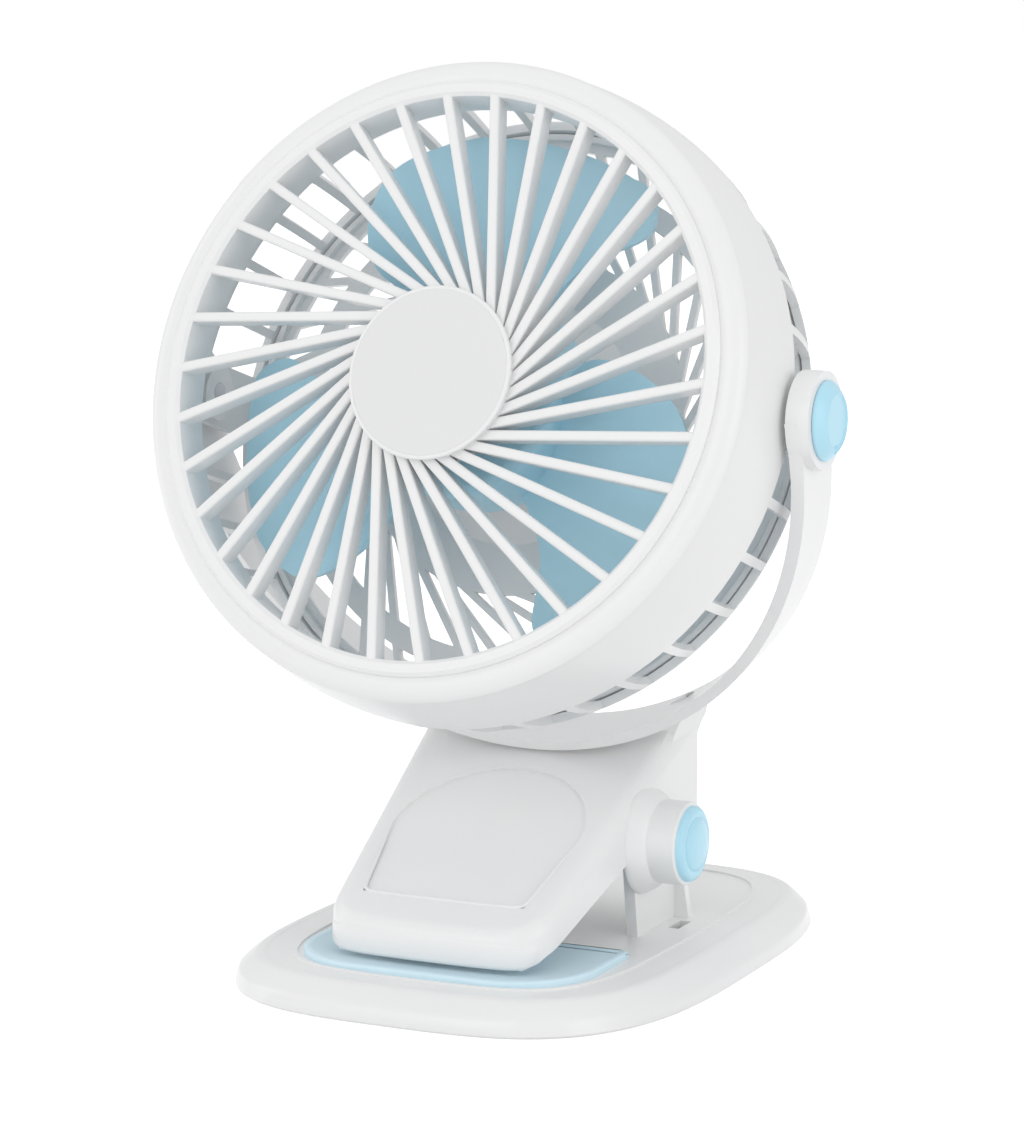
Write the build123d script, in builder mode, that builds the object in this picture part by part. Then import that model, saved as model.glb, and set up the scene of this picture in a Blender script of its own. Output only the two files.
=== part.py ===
from build123d import *
from math import atan2, cos, pi, radians, sin, sqrt, tan
import os

os.makedirs("parts", exist_ok=True)

# Clip fan, in millimetres. +Z is up, the fan faces -Y, and the origin is the
# bottom centre of the clip's base plate.

# ---------------------------------------------------------------- sizes: clip base
base_half_width = 54.5
base_half_depth = 74.6
base_power = 3.25
base_side_height = 3.7
base_height = 7.1
base_side_draft = 0.9
base_bevel = 6.4
plateau_power = 3.85
base_wall = 2.0
foot_proud = 0.5
foot_radius = 5.0
foot_recess = 0.6
foot_side_inset = 21.5
foot_end_inset = 16.6
base_cover_thickness = 1.6
cover_gap = 0.25
base_screw_side_inset = 16.5
base_screw_end_inset = 24.6
base_screw_boss = 3.2
base_screw_depth = 2.6
screw_radius = 1.1
screw_clearance = 0.2
screw_head_gap = 0.3
line_side_inset = 14.6
line_end_inset = 12.6
line_power = 4.3
line_width = 0.8
line_height = 0.45
pad_side_inset = 19.5
pad_front_inset = 14.2
pad_rear_y = -23.5
pad_thickness = 1.5
pad_front_corner = 19.5
pad_rear_corner = 1.5
pad_edge = 0.5
window_width = 2.6
window_length = 7.6
window_reach = 4.0
window_y = 8.6

# ---------------------------------------------------------------- sizes: clip hinge
hinge_y = -2.7
hinge_z = 29.1
post_inner_x = 26.6
post_thickness = 2.6
post_top_radius = 7.0
post_foot_front = -6.2
post_foot_back = 17.0
post_shoulder_height = 18.0
gusset_reach = 3.6
gusset_thickness = 2.2
hinge_pin_radius = 2.0
hinge_head_radius = 4.0
running_gap = 0.05
side_gap = 0.4
ear_radius = 12.2
ear_rim_radius = 9.7
ear_outer_right = 33.6
ear_left_radius = 6.6
ear_outer_left = 31.9
hinge_ring_radius = 9.5
hinge_cap_x = 40.4
cap_radius = 8.6
cap_bulge = 2.9
cap_face_radius = 6.0
cap_socket_radius = 7.2
cap_skirt_depth = 1.3
cap_skirt_wall = 0.9

# ---------------------------------------------------------------- sizes: clip spring
wire_radius = 0.75
coil_radius = 5.2
coil_pitch = 2.1
leg_gap = 0.3
coil_turns = 4
base_leg_angle = 20.0
neck_leg_angle = 350.0

# ---------------------------------------------------------------- sizes: head
tilt_degrees = 18.3
opening_radius = 62.0
opening_height = 29.2
lip_width = 3.4
lip_rise = 1.4
bezel_width = 8.6
bezel_radius = opening_radius + bezel_width
bezel_drop = 3.6
bezel_edge_height = opening_height - bezel_drop
bezel_step = 0.4
duct_depth = 10.8
duct_end_height = opening_height - duct_depth
duct_wall = 1.6
spoke_count = 34
spoke_offset = 13.1
spoke_phase = 2.15
spoke_width = 2.3
spoke_depth = 5.0
spoke_drop = 0.5
spoke_round = 0.7
hub_radius = 18.6
hub_rise = 0.1
hub_seat_height = opening_height + hub_rise
hub_cap_thickness = 1.6
hub_wall = 1.6
hub_depth = 6.0
front_skirt_wall = 1.6
front_skirt_length = 4.0
lip_round = 0.8
drum_swell = 2.2
drum_radius = bezel_radius + drum_swell
drum_widest_height = 6.5
drum_wall = 2.0
drum_taper = 3.2
drum_rear_radius = drum_radius - drum_taper
rear_plate_height = -18.6
rear_plate_thickness = 1.8
seam_gap = 0.1
drum_rear_height = rear_plate_height + rear_plate_thickness + seam_gap
slot_count = 36
slot_degrees = 8.3
slot_front_height = 3.5
slot_margin = 1.6
slot_rear_height = drum_rear_height + slot_margin
fit_gap = 0.2
rear_corner = 2.2
rim_width = 5.8
rim_inner_radius = drum_rear_radius - rim_width
spigot_wall = 1.5
spigot_height = 1.2
rear_ring_inset = 6.1
rear_ring_width = 5.2
rear_ring_radius = rim_inner_radius - rear_ring_inset - rear_ring_width / 2
inner_zone_width = 13.0
disc_radius = rear_ring_radius - rear_ring_width / 2 - inner_zone_width
pod_base_radius = 28.0
pod_radius = 21.0
pod_front_height = -5.0
pod_wall = 1.8
rear_cap_height = -25.5
rear_cap_rim = 23.6
rear_bar_count = 36
rear_bar_width = 1.8
rear_bar_offset = 36.0
rear_bar_phase = 5.0

# ---------------------------------------------------------------- sizes: rotor and motor
blade_count = 3
blade_tip_gap = 3.0
blade_tip_radius = opening_radius - blade_tip_gap
blade_mid_height = 6.5
blade_thickness = 1.3
blade_bow_radius = 120.0
rotor_hub_radius = 23.9
rotor_hub_front = 16.0
rotor_hub_back = -1.5
rotor_hub_wall = 1.6
rotor_boss_radius = 4.0
rotor_boss_height = 10.2
rotor_hub_round = 3.0
motor_radius = 11.9
motor_front_height = 8.0
motor_collar_radius = 4.0
motor_collar_length = 3.0
shaft_radius = 1.5
shaft_front_height = 14.2
bush_radius = 3.0
bush_length = 1.2
motor_screw_x = 8.0
motor_screw_radius = 1.0
motor_screw_head = 2.0

# ---------------------------------------------------------------- sizes: yoke and pivots
yoke_gap = 1.2
yoke_inner_radius = drum_radius + yoke_gap
yoke_wall = 3.0
yoke_floor = 2.2
yoke_drop = 5.17
yoke_lean = 0.4146
yoke_draft = 12.0
yoke_width = 18.0
rim_lead = 11.1
yoke_foot_y = -1.376
yoke_foot_z = 49.03
pivot_z = yoke_foot_z + yoke_drop + yoke_inner_radius
pivot_y = yoke_foot_y + rim_lead - yoke_lean * (pivot_z - yoke_foot_z)
boss_radius = 10.6
boss_length = 5.1
boss_outer_x = yoke_inner_radius + boss_length
pivot_pad_radius = 6.2
pivot_pad_proud = 0.5
pivot_pad_x = drum_radius + pivot_pad_proud
pivot_pad_depth = 4.6
pivot_pin_radius = 2.5
pivot_head_radius = 5.0
pivot_head_height = 1.2
washer_radius = 5.8
washer_thickness = 0.6

# ---------------------------------------------------------------- sizes: neck and jaw
control_z = 39.5
panel_front_y = -51.6
panel_front_z = 18.9
panel_back_y = -1.0
panel_back_z = 45.6
lip_front_y = -53.6
lip_bottom_z = 9.5
jaw_front_half_width = 26.4
jaw_taper = 0.09
edge_rounding = 4.6
lip_corner = 11.0
jaw_wall = 2.4
notch_y = -11.6
notch_z = 26.6
under_front_y = -48.0
under_front_z = 12.4
neck_back_y = 19.2
neck_back_z = 31.6
neck_ceiling_z = 44.8
bay_half_width = 22.6
recess_depth = 0.6
jaw_cover_thickness = 1.8
jaw_pad_thickness = 0.9
neck_cover_thickness = 2.0
neck_cover_width = 55.6
neck_cover_height = 13.2
neck_window_width = 39.0
neck_window_height = 9.6
neck_screw_x = 23.6
neck_top_z = yoke_foot_z + 21.0
neck_crown_z = yoke_foot_z + 7.0
flare_start_z = yoke_foot_z - 5.0
flare_end_z = yoke_foot_z + 13.0
flare_reach = 7.8
flare_sag = 2.6
jaw_screw_x = 17.5
jaw_screw_reach = 32.6
small_head_radius = 2.2
recess_start = 5.8
recess_start_half = 19.7
recess_shoulder = 29.9
recess_shoulder_half = 23.2
recess_crown = 52.5
socket_x = -9.0
socket_width = 9.0
socket_height = 3.2
button_x = 9.0
button_radius = 3.6
button_travel = 0.8
button_proud = 1.0
board_y = 9.6
board_thickness = 1.4
board_width = 50.0
board_height = 10.0
cell_length = 34.0
cell_width = 22.0
cell_thickness = 3.2

# ---------------------------------------------------------------- planes and helpers
tilt = radians(tilt_degrees)
head_axis = Vector(0, -cos(tilt), sin(tilt))
head_up = Vector(0, sin(tilt), cos(tilt))
pivot = Vector(0, pivot_y, pivot_z)
head_plane = Plane(origin=pivot, x_dir=(1, 0, 0), z_dir=head_axis)
head_section = Plane(origin=pivot, x_dir=(1, 0, 0), z_dir=head_up * -1)
head_line = Axis(pivot, head_axis)
post_outer_x = post_inner_x + post_thickness
ear_inner_x = post_outer_x + side_gap


def squircle(half_width, half_depth, power, count=28):
    """Points of a rounded rectangle |x/a|^n + |y/b|^n = 1."""
    points = []
    for step in range(count):
        turn = 2 * pi * (step + 0.5) / count
        across = abs(cos(turn)) ** (2 / power)
        along = abs(sin(turn)) ** (2 / power)
        x = half_width * (across if cos(turn) > 0 else -across)
        y = half_depth * (along if sin(turn) > 0 else -along)
        points.append((x, y))
    return points


def plate(height, side_inset, end_inset, power):
    """A face with the base plate's outline, inset, at a height."""
    with BuildSketch(Plane.XY.offset(height), mode=Mode.PRIVATE) as face:
        with BuildLine():
            Spline(*squircle(base_half_width - side_inset, base_half_depth - end_inset, power), periodic=True)
        make_face()
    return face.sketch


def disc(x, y, z, radius, length):
    """A round bar along X, from x, with a signed length."""
    ends = Plane(origin=(x, y, z), x_dir=(0, 1, 0), z_dir=(1 if length > 0 else -1, 0, 0))
    return Solid.make_cylinder(radius, abs(length), ends)


# ================================================================ clip base
# Lower shell: a low rounded plate, bevelled round the edge, with two hinge posts.
screw_x = base_half_width - base_screw_side_inset
screw_y = base_half_depth - base_screw_end_inset
screw_spots = [(x, y) for x in (-screw_x, screw_x) for y in (-screw_y, screw_y)]
cover_top = foot_proud + base_cover_thickness
ceiling = base_height - base_wall
with BuildPart() as base_shell:
    add(plate(foot_proud, 0, 0, base_power))
    add(plate(base_side_height, base_side_draft, base_side_draft, base_power))
    add(plate(base_height, base_bevel, base_bevel, plateau_power))
    loft(ruled=True)
    # thin raised line round the top
    with BuildSketch(Plane.XY.offset(base_height - 0.2)):
        add(plate(0, line_side_inset, line_end_inset, line_power))
        add(plate(0, line_side_inset + line_width, line_end_inset + line_width, line_power), mode=Mode.SUBTRACT)
    extrude(amount=line_height + 0.2)
    # hollow underside
    inner = base_side_draft + base_wall
    add(plate(foot_proud, base_wall, base_wall, base_power))
    add(plate(base_side_height - 0.8, inner, inner, base_power))
    add(plate(ceiling, base_bevel + base_wall, base_bevel + base_wall, plateau_power))
    loft(ruled=True, mode=Mode.SUBTRACT)
    # screw bosses under the top
    with BuildSketch(Plane.XY.offset(ceiling + 0.1)):
        with Locations(*screw_spots):
            Circle(base_screw_boss)
    extrude(amount=cover_top - ceiling - 0.1)
    with BuildSketch(Plane.XY.offset(cover_top)):
        with Locations(*screw_spots):
            Circle(screw_radius)
    extrude(amount=base_screw_depth, mode=Mode.SUBTRACT)
    # hinge posts, each with a gusset on its outer rear edge
    for side in (1, -1):
        with BuildSketch(Plane.YZ.offset(side * post_inner_x)):
            with Locations((hinge_y, hinge_z)):
                Circle(post_top_radius)
            with Locations((post_foot_front, base_height - 1.0)):
                Rectangle(
                    post_foot_back - post_foot_front,
                    post_shoulder_height - base_height + 1.0,
                    align=(Align.MIN, Align.MIN),
                )
            make_hull()
        extrude(amount=side * post_thickness)
        with BuildSketch(Plane.XZ.offset(gusset_thickness - post_foot_back)):
            Polygon(
                (side * (post_outer_x - 0.1), base_height - 1.0),
                (side * (post_outer_x + gusset_reach), base_height - 1.0),
                (side * (post_outer_x + gusset_reach), base_height),
                (side * (post_outer_x + gusset_reach - 1.6), post_shoulder_height),
                (side * (post_outer_x - 0.1), post_shoulder_height),
                align=None,
            )
        extrude(amount=-gusset_thickness)
        with Locations((side * (post_outer_x + window_reach), window_y, base_height)):
            Box(window_width, window_length, 4 * base_wall, mode=Mode.SUBTRACT)
    add(disc(-post_outer_x - 1, hinge_y, hinge_z, hinge_pin_radius, 2 * post_outer_x + 2), mode=Mode.SUBTRACT)
base_shell.part.label = "base_shell"
export_step(base_shell.part, "parts/base_shell.step")

# Bottom cover: a flat plate let into the shell.
foot_x = base_half_width - foot_side_inset
foot_y = base_half_depth - foot_end_inset
foot_spots = [(x, y) for x in (-foot_x, foot_x) for y in (-foot_y, foot_y)]
base_head_radius = small_head_radius + 0.4
edge = base_wall + cover_gap + base_side_draft
with BuildPart() as base_cover:
    with BuildSketch(Plane.XY.offset(foot_proud)):
        add(plate(0, edge, edge, base_power))
    extrude(amount=base_cover_thickness)
    with BuildSketch(Plane.XY.offset(foot_proud)):
        with Locations(*foot_spots):
            Circle(foot_radius + 0.1)
    extrude(amount=foot_recess, mode=Mode.SUBTRACT)
    with BuildSketch(Plane.XY.offset(foot_proud)):
        with Locations(*screw_spots):
            Circle(base_head_radius + screw_head_gap)
    extrude(amount=0.9, mode=Mode.SUBTRACT)
    with BuildSketch(Plane.XY.offset(foot_proud)):
        with Locations(*screw_spots):
            Circle(screw_radius + screw_clearance)
    extrude(amount=base_cover_thickness, mode=Mode.SUBTRACT)
base_cover.part.label = "base_cover"
export_step(base_cover.part, "parts/base_cover.step")

with BuildPart() as base_feet:
    with BuildSketch():
        with Locations(*foot_spots):
            Circle(foot_radius)
    extrude(amount=foot_proud + foot_recess)
base_feet.part.label = "base_feet"
export_step(base_feet.part, "parts/base_feet.step")

with BuildPart() as base_screws:
    with BuildSketch(Plane.XY.offset(foot_proud + 0.1)):
        with Locations(*screw_spots):
            Circle(base_head_radius)
    extrude(amount=0.8)
    with BuildSketch(Plane.XY.offset(foot_proud + 0.1)):
        with Locations(*screw_spots):
            Circle(screw_radius)
    extrude(amount=base_cover_thickness + 2.2)
base_screws.part.label = "base_screws"
export_step(base_screws.part, "parts/base_screws.step")

# Soft pad that the upper jaw closes on.
with BuildPart() as base_pad:
    with BuildSketch(Plane.XY.offset(base_height)) as pad_face:
        with Locations((0, pad_rear_y)):
            Rectangle(
                2 * (base_half_width - pad_side_inset),
                pad_rear_y + base_half_depth - pad_front_inset,
                align=(Align.CENTER, Align.MAX),
            )
        fillet(pad_face.vertices().group_by(Axis.Y)[0], pad_front_corner)
        fillet(pad_face.vertices().group_by(Axis.Y)[-1], pad_rear_corner)
    extrude(amount=pad_thickness)
    fillet(base_pad.faces().sort_by(Axis.Z)[-1].edges(), pad_edge)
base_pad.part.label = "base_pad"
export_step(base_pad.part, "parts/base_pad.step")

# Hinge pin through posts and ears: formed end on the left, flat head on the right.
pin_left = -(ear_outer_left + 0.3)
pin_head_x = ear_outer_right + 2.6
with BuildPart() as hinge_pin:
    add(disc(pin_left, hinge_y, hinge_z, hinge_pin_radius, pin_head_x - pin_left))
    add(disc(pin_head_x, hinge_y, hinge_z, hinge_head_radius, 1.2))
    add(disc(pin_left, hinge_y, hinge_z, hinge_head_radius - 0.6, -1.0))
hinge_pin.part.label = "hinge_pin"
export_step(hinge_pin.part, "parts/hinge_pin.step")


# Torsion spring on the pin. Its path is made of short tangent arcs.
def coil_point(turn, shift):
    """Point and direction of the coil at an angle in degrees, moving along X."""
    angle = radians(turn)
    point = Vector(shift, hinge_y + coil_radius * cos(angle), hinge_z + coil_radius * sin(angle))
    rise = coil_pitch / (2 * pi * coil_radius)
    heading = Vector(rise, -sin(angle), cos(angle)).normalized()
    return point, heading


coil_start = base_leg_angle
coil_end = neck_leg_angle + 360.0 * coil_turns
coil_half = (coil_end - coil_start) / 360 * coil_pitch / 2
stops = 4 * coil_turns + 1
coil_marks = []
for index in range(stops + 1):
    turn = coil_start + (coil_end - coil_start) * index / stops
    coil_marks.append(coil_point(turn, -coil_half + 2 * coil_half * index / stops))

first_point, first_heading = coil_marks[0]
last_point, last_heading = coil_marks[-1]
low_reach = (first_point.Z - base_height - wire_radius - leg_gap) / first_heading.Z
top_reach = (neck_ceiling_z - wire_radius - leg_gap - last_point.Z) / last_heading.Z
with BuildPart() as torsion_spring:
    with BuildLine() as wire_path:
        Line(first_point - first_heading * low_reach, first_point)
        for (a, heading_a), (b, heading_b) in zip(coil_marks, coil_marks[1:]):
            chord = b - a
            both = heading_a + heading_b
            square = 2 * (heading_a.dot(heading_b) - 1)
            middle = -2 * chord.dot(both)
            reach = (-middle - sqrt(middle**2 - 4 * square * chord.dot(chord))) / (2 * square)
            if reach < 0:
                reach = (-middle + sqrt(middle**2 - 4 * square * chord.dot(chord))) / (2 * square)
            out = a + heading_a * reach
            back = b - heading_b * reach
            joint = (out + back) * 0.5
            TangentArc(a, joint, tangent=heading_a)
            TangentArc(joint, b, tangent=(back - out).normalized())
        Line(last_point, last_point + last_heading * top_reach)
    with BuildSketch(Plane(origin=wire_path.line @ 0, z_dir=wire_path.line % 0)):
        Circle(wire_radius)
    sweep(path=wire_path.line)
print("spring self gap", round(coil_pitch - 2 * wire_radius, 2), "mm")
torsion_spring.part.label = "torsion_spring"
export_step(torsion_spring.part, "parts/torsion_spring.step")

# ================================================================ upper arm: yoke, neck and jaw
panel_slope = atan2(panel_back_z - panel_front_z, panel_back_y - panel_front_y)
panel_origin = Vector(0, panel_front_y, panel_front_z)
panel_along = Vector(0, cos(panel_slope), sin(panel_slope))
panel_plane = Plane(origin=panel_origin, x_dir=(1, 0, 0), z_dir=(0, -sin(panel_slope), cos(panel_slope)))
under_slope = atan2(notch_z - under_front_z, notch_y - under_front_y)
under_plane = Plane(
    origin=(0, under_front_y, under_front_z), x_dir=(1, 0, 0), z_dir=(0, -sin(under_slope), cos(under_slope))
)
draft = radians(yoke_draft)
band_plane = Plane(origin=pivot, x_dir=(1, 0, 0), z_dir=(0, -cos(draft), -sin(draft)))
rim_front_y = pivot_y - rim_lead
# the round U seen from the front, measured square to the drafted direction
stretch = cos(draft) + yoke_lean * sin(draft)
band_centre = rim_lead * sin(draft) - yoke_drop * stretch
band_radius = yoke_inner_radius * stretch
band_top = 30.0
low_z = yoke_foot_z - 12
yoke_reach = yoke_inner_radius + 16


def panel_z(y):
    """Height of the jaw's sloping top at a depth."""
    return panel_front_z + (y - panel_front_y) * tan(panel_slope)


def rim_y(height, start):
    """Depth of the leaning yoke's edge at a height."""
    return start + yoke_lean * (pivot_z - height)


def u_face(side_radius, floor_radius):
    """The yoke's U, filled, drawn in the drafted plane of the current sketch."""
    with Locations((0, band_centre)):
        Ellipse(side_radius, floor_radius)
        Rectangle(2 * side_radius, 2 * yoke_reach, align=(Align.CENTER, Align.MIN))


with BuildPart() as yoke_band:
    with BuildSketch(band_plane):
        u_face(yoke_inner_radius + yoke_wall, band_radius + yoke_floor)
        with Locations((0, band_centre)):
            Ellipse(yoke_inner_radius, band_radius, mode=Mode.SUBTRACT)
            Rectangle(2 * yoke_inner_radius, 3 * yoke_reach, align=(Align.CENTER, Align.MIN), mode=Mode.SUBTRACT)
    extrude(amount=yoke_reach, both=True)
    with BuildSketch(Plane.YZ.offset(-yoke_reach)):
        Polygon(
            (rim_front_y, pivot_z),
            (rim_y(low_z, rim_front_y), low_z),
            (rim_y(low_z, rim_front_y + yoke_width), low_z),
            (rim_front_y + yoke_width, pivot_z),
            align=None,
        )
        with Locations((pivot_y, pivot_z)):
            Circle(boss_radius)
    extrude(amount=2 * yoke_reach, mode=Mode.INTERSECT)

with BuildPart() as yoke_inside:
    with BuildSketch(band_plane):
        u_face(yoke_inner_radius + 1, band_radius + 1)
    extrude(amount=yoke_reach, both=True)


def half_width_at(y):
    """Half width of jaw and neck at a depth."""
    return jaw_front_half_width + jaw_taper * (y - lip_front_y)


def arm_outline(back_y, inset):
    """Jaw and neck seen from above, with rounded lip corners."""
    with BuildLine() as outline:
        wide = half_width_at(back_y) - inset
        front = half_width_at(lip_front_y) - inset
        Line((wide, back_y), (front, lip_front_y))
        ThreePointArc((front, lip_front_y), (0, lip_front_y - 1.6), (-front, lip_front_y))
        Line((-front, lip_front_y), (-wide, back_y))
        Line((-wide, back_y), (wide, back_y))
    with BuildSketch(mode=Mode.PRIVATE) as face:
        add(outline.line)
        make_face()
        fillet(face.vertices().group_by(Axis.Y)[0], lip_corner)
    return face.sketch


# sloping jaw: rounded outline, then its side profile, then the soft top edge
with BuildPart() as jaw_block:
    with BuildSketch():
        add(arm_outline(40.0, 0))
    extrude(amount=neck_top_z + 40)
    with BuildSketch(Plane.YZ.offset(-60)):
        Polygon(
            (lip_front_y - 9, lip_bottom_z - 6),
            (lip_front_y - 9, panel_z(lip_front_y - 9)),
            (50.0, panel_z(50.0)),
            (50.0, lip_bottom_z - 6),
            align=None,
        )
    extrude(amount=120, mode=Mode.INTERSECT)
    top_edges = jaw_block.faces().sort_by(Axis(panel_origin, panel_plane.z_dir))[-1].edges()
    fillet(top_edges.sort_by(Axis.Y)[:-1], edge_rounding)

# neck seen from the front: straight sides that flare out into the yoke
neck_half = half_width_at(neck_back_y) - edge_rounding + 1
flare_middle = (neck_half + flare_reach / 2 - flare_sag, (flare_start_z + flare_end_z) / 2 + 1.0)
with BuildPart() as neck_top:
    with BuildSketch(Plane.XZ.offset(-neck_back_y)):
        with BuildLine():
            Polyline((0, 20.0), (neck_half, 20.0), (neck_half, flare_start_z))
            ThreePointArc((neck_half, flare_start_z), flare_middle, (neck_half + flare_reach, flare_end_z))
            Polyline((neck_half + flare_reach, flare_end_z), (neck_half + flare_reach, neck_top_z), (0, neck_top_z), (0, 20.0))
        make_face()
        mirror(about=Plane.YZ)
    extrude(amount=neck_back_y)
    with BuildSketch(Plane.YZ.offset(-60)):
        Polygon(
            (4.0, panel_z(4.0) - 4),
            (7.0, panel_z(7.0) - 0.3),
            (12.5, neck_crown_z),
            (16.0, neck_top_z),
            (neck_back_y, neck_top_z),
            (neck_back_y, neck_ceiling_z + 3.2),
            align=None,
        )
    extrude(amount=120, mode=Mode.INTERSECT)

with BuildPart() as jaw_body:
    add(jaw_block.part)
    with BuildSketch(Plane.YZ.offset(-60)):
        Polygon(
            (lip_front_y + 0.8, lip_bottom_z),
            (lip_front_y - 4, lip_bottom_z + 10),
            (lip_front_y - 4, 30.0),
            (neck_back_y, neck_top_z + 5),
            (neck_back_y, neck_back_z),
            (8.5, 30.0),
            (hinge_y, 27.2),
            (notch_y, notch_z),
            (under_front_y, under_front_z),
            align=None,
        )
    extrude(amount=120, mode=Mode.INTERSECT)
    add(neck_top.part)
    add(yoke_inside.part, mode=Mode.SUBTRACT)
    # shallow panel recess with its arched top
    with BuildSketch(panel_plane):
        with BuildLine():
            Polyline(
                (-recess_shoulder_half, recess_shoulder),
                (-recess_start_half, recess_start),
                (recess_start_half, recess_start),
                (recess_shoulder_half, recess_shoulder),
            )
            ThreePointArc(
                (recess_shoulder_half, recess_shoulder), (0, recess_crown), (-recess_shoulder_half, recess_shoulder)
            )
        make_face()
    extrude(amount=-recess_depth, mode=Mode.SUBTRACT)

bay_front = (-46.4, 19.0)
bay_back_y = notch_y - 2.8
roof_drop = jaw_wall / cos(panel_slope)
hollow_front_y = notch_y - 1.2
hollow_back_y = 15.4
cover_seat_y = neck_back_y - fit_gap - neck_cover_thickness
with BuildPart() as arm_frame:
    add(jaw_body.part)
    add(yoke_band.part)
    # bosses at the pivots and ears at the clip hinge
    for side in (1, -1):
        add(disc(side * yoke_inner_radius, pivot_y, pivot_z, boss_radius, side * boss_length))
    add(disc(-ear_inner_x + 1, hinge_y, hinge_z, ear_left_radius, ear_inner_x - 1 - ear_outer_left))
    for reach, radius in ((ear_inner_x, ear_radius), (ear_outer_right, ear_rim_radius)):
        with BuildSketch(Plane.YZ.offset(reach)):
            with Locations((hinge_y, hinge_z)):
                Circle(radius)
    loft()
    # bay in the jaw for the cell
    with BuildSketch(Plane.YZ.offset(-bay_half_width)):
        Polygon(
            (bay_front[0], 5.0),
            (bay_front[0], panel_z(bay_front[0]) - roof_drop),
            (bay_back_y, panel_z(bay_back_y) - roof_drop),
            (bay_back_y, 5.0),
            align=None,
        )
    extrude(amount=2 * bay_half_width, mode=Mode.SUBTRACT)
    # hollow neck, open below round the posts
    with BuildSketch(Plane.YZ.offset(-ear_inner_x)):
        Polygon(
            (hollow_front_y, 10.0),
            (hollow_front_y, panel_z(hollow_front_y) - roof_drop),
            (0.0, panel_z(0.0) - roof_drop),
            (5.0, neck_ceiling_z),
            (hollow_back_y, neck_ceiling_z + 1.6),
            (hollow_back_y, 10.0),
            align=None,
        )
    extrude(amount=2 * ear_inner_x, mode=Mode.SUBTRACT)
    # screw bosses, window and seat of the rear cover
    with BuildSketch(Plane.XZ.offset(-hollow_back_y)):
        with Locations((neck_screw_x, control_z), (-neck_screw_x, control_z)):
            Circle(2.6)
    extrude(amount=4.4)
    with BuildSketch(Plane.XZ.offset(-neck_back_y - 6)):
        with Locations((0, control_z)):
            Rectangle(neck_window_width, neck_window_height)
    extrude(amount=12, mode=Mode.SUBTRACT)
    with BuildSketch(Plane.XZ.offset(-cover_seat_y)):
        with Locations((0, control_z)):
            Rectangle(neck_cover_width + 2 * fit_gap, neck_cover_height + 2 * fit_gap)
    extrude(amount=-20, mode=Mode.SUBTRACT)
    with BuildSketch(Plane.XZ.offset(-neck_back_y)):
        with Locations((neck_screw_x, control_z), (-neck_screw_x, control_z)):
            Circle(screw_radius)
    extrude(amount=7.0, mode=Mode.SUBTRACT)
    # screw bosses of the jaw cover
    with BuildSketch(under_plane.offset(jaw_cover_thickness)):
        with Locations((jaw_screw_x, jaw_screw_reach), (-jaw_screw_x, jaw_screw_reach)):
            Circle(2.6)
    extrude(amount=7.6)
    with BuildSketch(under_plane):
        with Locations((jaw_screw_x, jaw_screw_reach), (-jaw_screw_x, jaw_screw_reach)):
            Circle(screw_radius)
    extrude(amount=7.0, mode=Mode.SUBTRACT)
    # bores and sockets
    add(disc(-boss_outer_x, pivot_y, pivot_z, pivot_pin_radius + running_gap, 2 * boss_outer_x), mode=Mode.SUBTRACT)
    add(disc(-ear_outer_left, hinge_y, hinge_z, hinge_pin_radius + running_gap, 80), mode=Mode.SUBTRACT)
    for side in (1, -1):
        add(
            disc(side * boss_outer_x, pivot_y, pivot_z, cap_socket_radius, -side * (cap_skirt_depth + 0.3)),
            mode=Mode.SUBTRACT,
        )
arm_frame.part.label = "arm_frame"
export_step(arm_frame.part, "parts/arm_frame.step")

# Rear cover of the neck, with the charging socket and the button in it.
with BuildPart() as neck_cover:
    with BuildSketch(Plane.XZ.offset(-cover_seat_y)):
        with Locations((0, control_z)):
            RectangleRounded(neck_cover_width, neck_cover_height, 1.0)
        with Locations((socket_x, control_z)):
            RectangleRounded(socket_width + 0.6, socket_height + 0.6, 1.6, mode=Mode.SUBTRACT)
        with Locations((button_x, control_z)):
            Circle(button_radius + 0.3, mode=Mode.SUBTRACT)
        with Locations((neck_screw_x, control_z), (-neck_screw_x, control_z)):
            Circle(screw_radius + screw_clearance, mode=Mode.SUBTRACT)
    extrude(amount=-neck_cover_thickness)
    with BuildSketch(Plane.XZ.offset(-cover_seat_y - neck_cover_thickness)):
        with Locations((neck_screw_x, control_z), (-neck_screw_x, control_z)):
            Circle(small_head_radius + screw_head_gap)
    extrude(amount=1.0, mode=Mode.SUBTRACT)
neck_cover.part.label = "neck_cover"
export_step(neck_cover.part, "parts/neck_cover.step")

with BuildPart() as neck_screws:
    with BuildSketch(Plane.XZ.offset(-cover_seat_y - neck_cover_thickness + 0.2)):
        with Locations((neck_screw_x, control_z), (-neck_screw_x, control_z)):
            Circle(small_head_radius)
    extrude(amount=0.8)
    with BuildSketch(Plane.XZ.offset(-cover_seat_y - neck_cover_thickness + 0.2)):
        with Locations((neck_screw_x, control_z), (-neck_screw_x, control_z)):
            Circle(screw_radius)
    extrude(amount=6.0)
neck_screws.part.label = "neck_screws"
export_step(neck_screws.part, "parts/neck_screws.step")

with BuildPart() as control_board:
    with BuildSketch(Plane.XZ.offset(-board_y)):
        with Locations((0, control_z)):
            Rectangle(board_width, board_height)
    extrude(amount=-board_thickness)
    with BuildSketch(Plane.XZ.offset(-board_y - board_thickness)):
        with Locations((button_x, control_z)):
            Rectangle(6.0, 6.0)
    extrude(amount=-1.2)
control_board.part.label = "control_board"
export_step(control_board.part, "parts/control_board.step")

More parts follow.
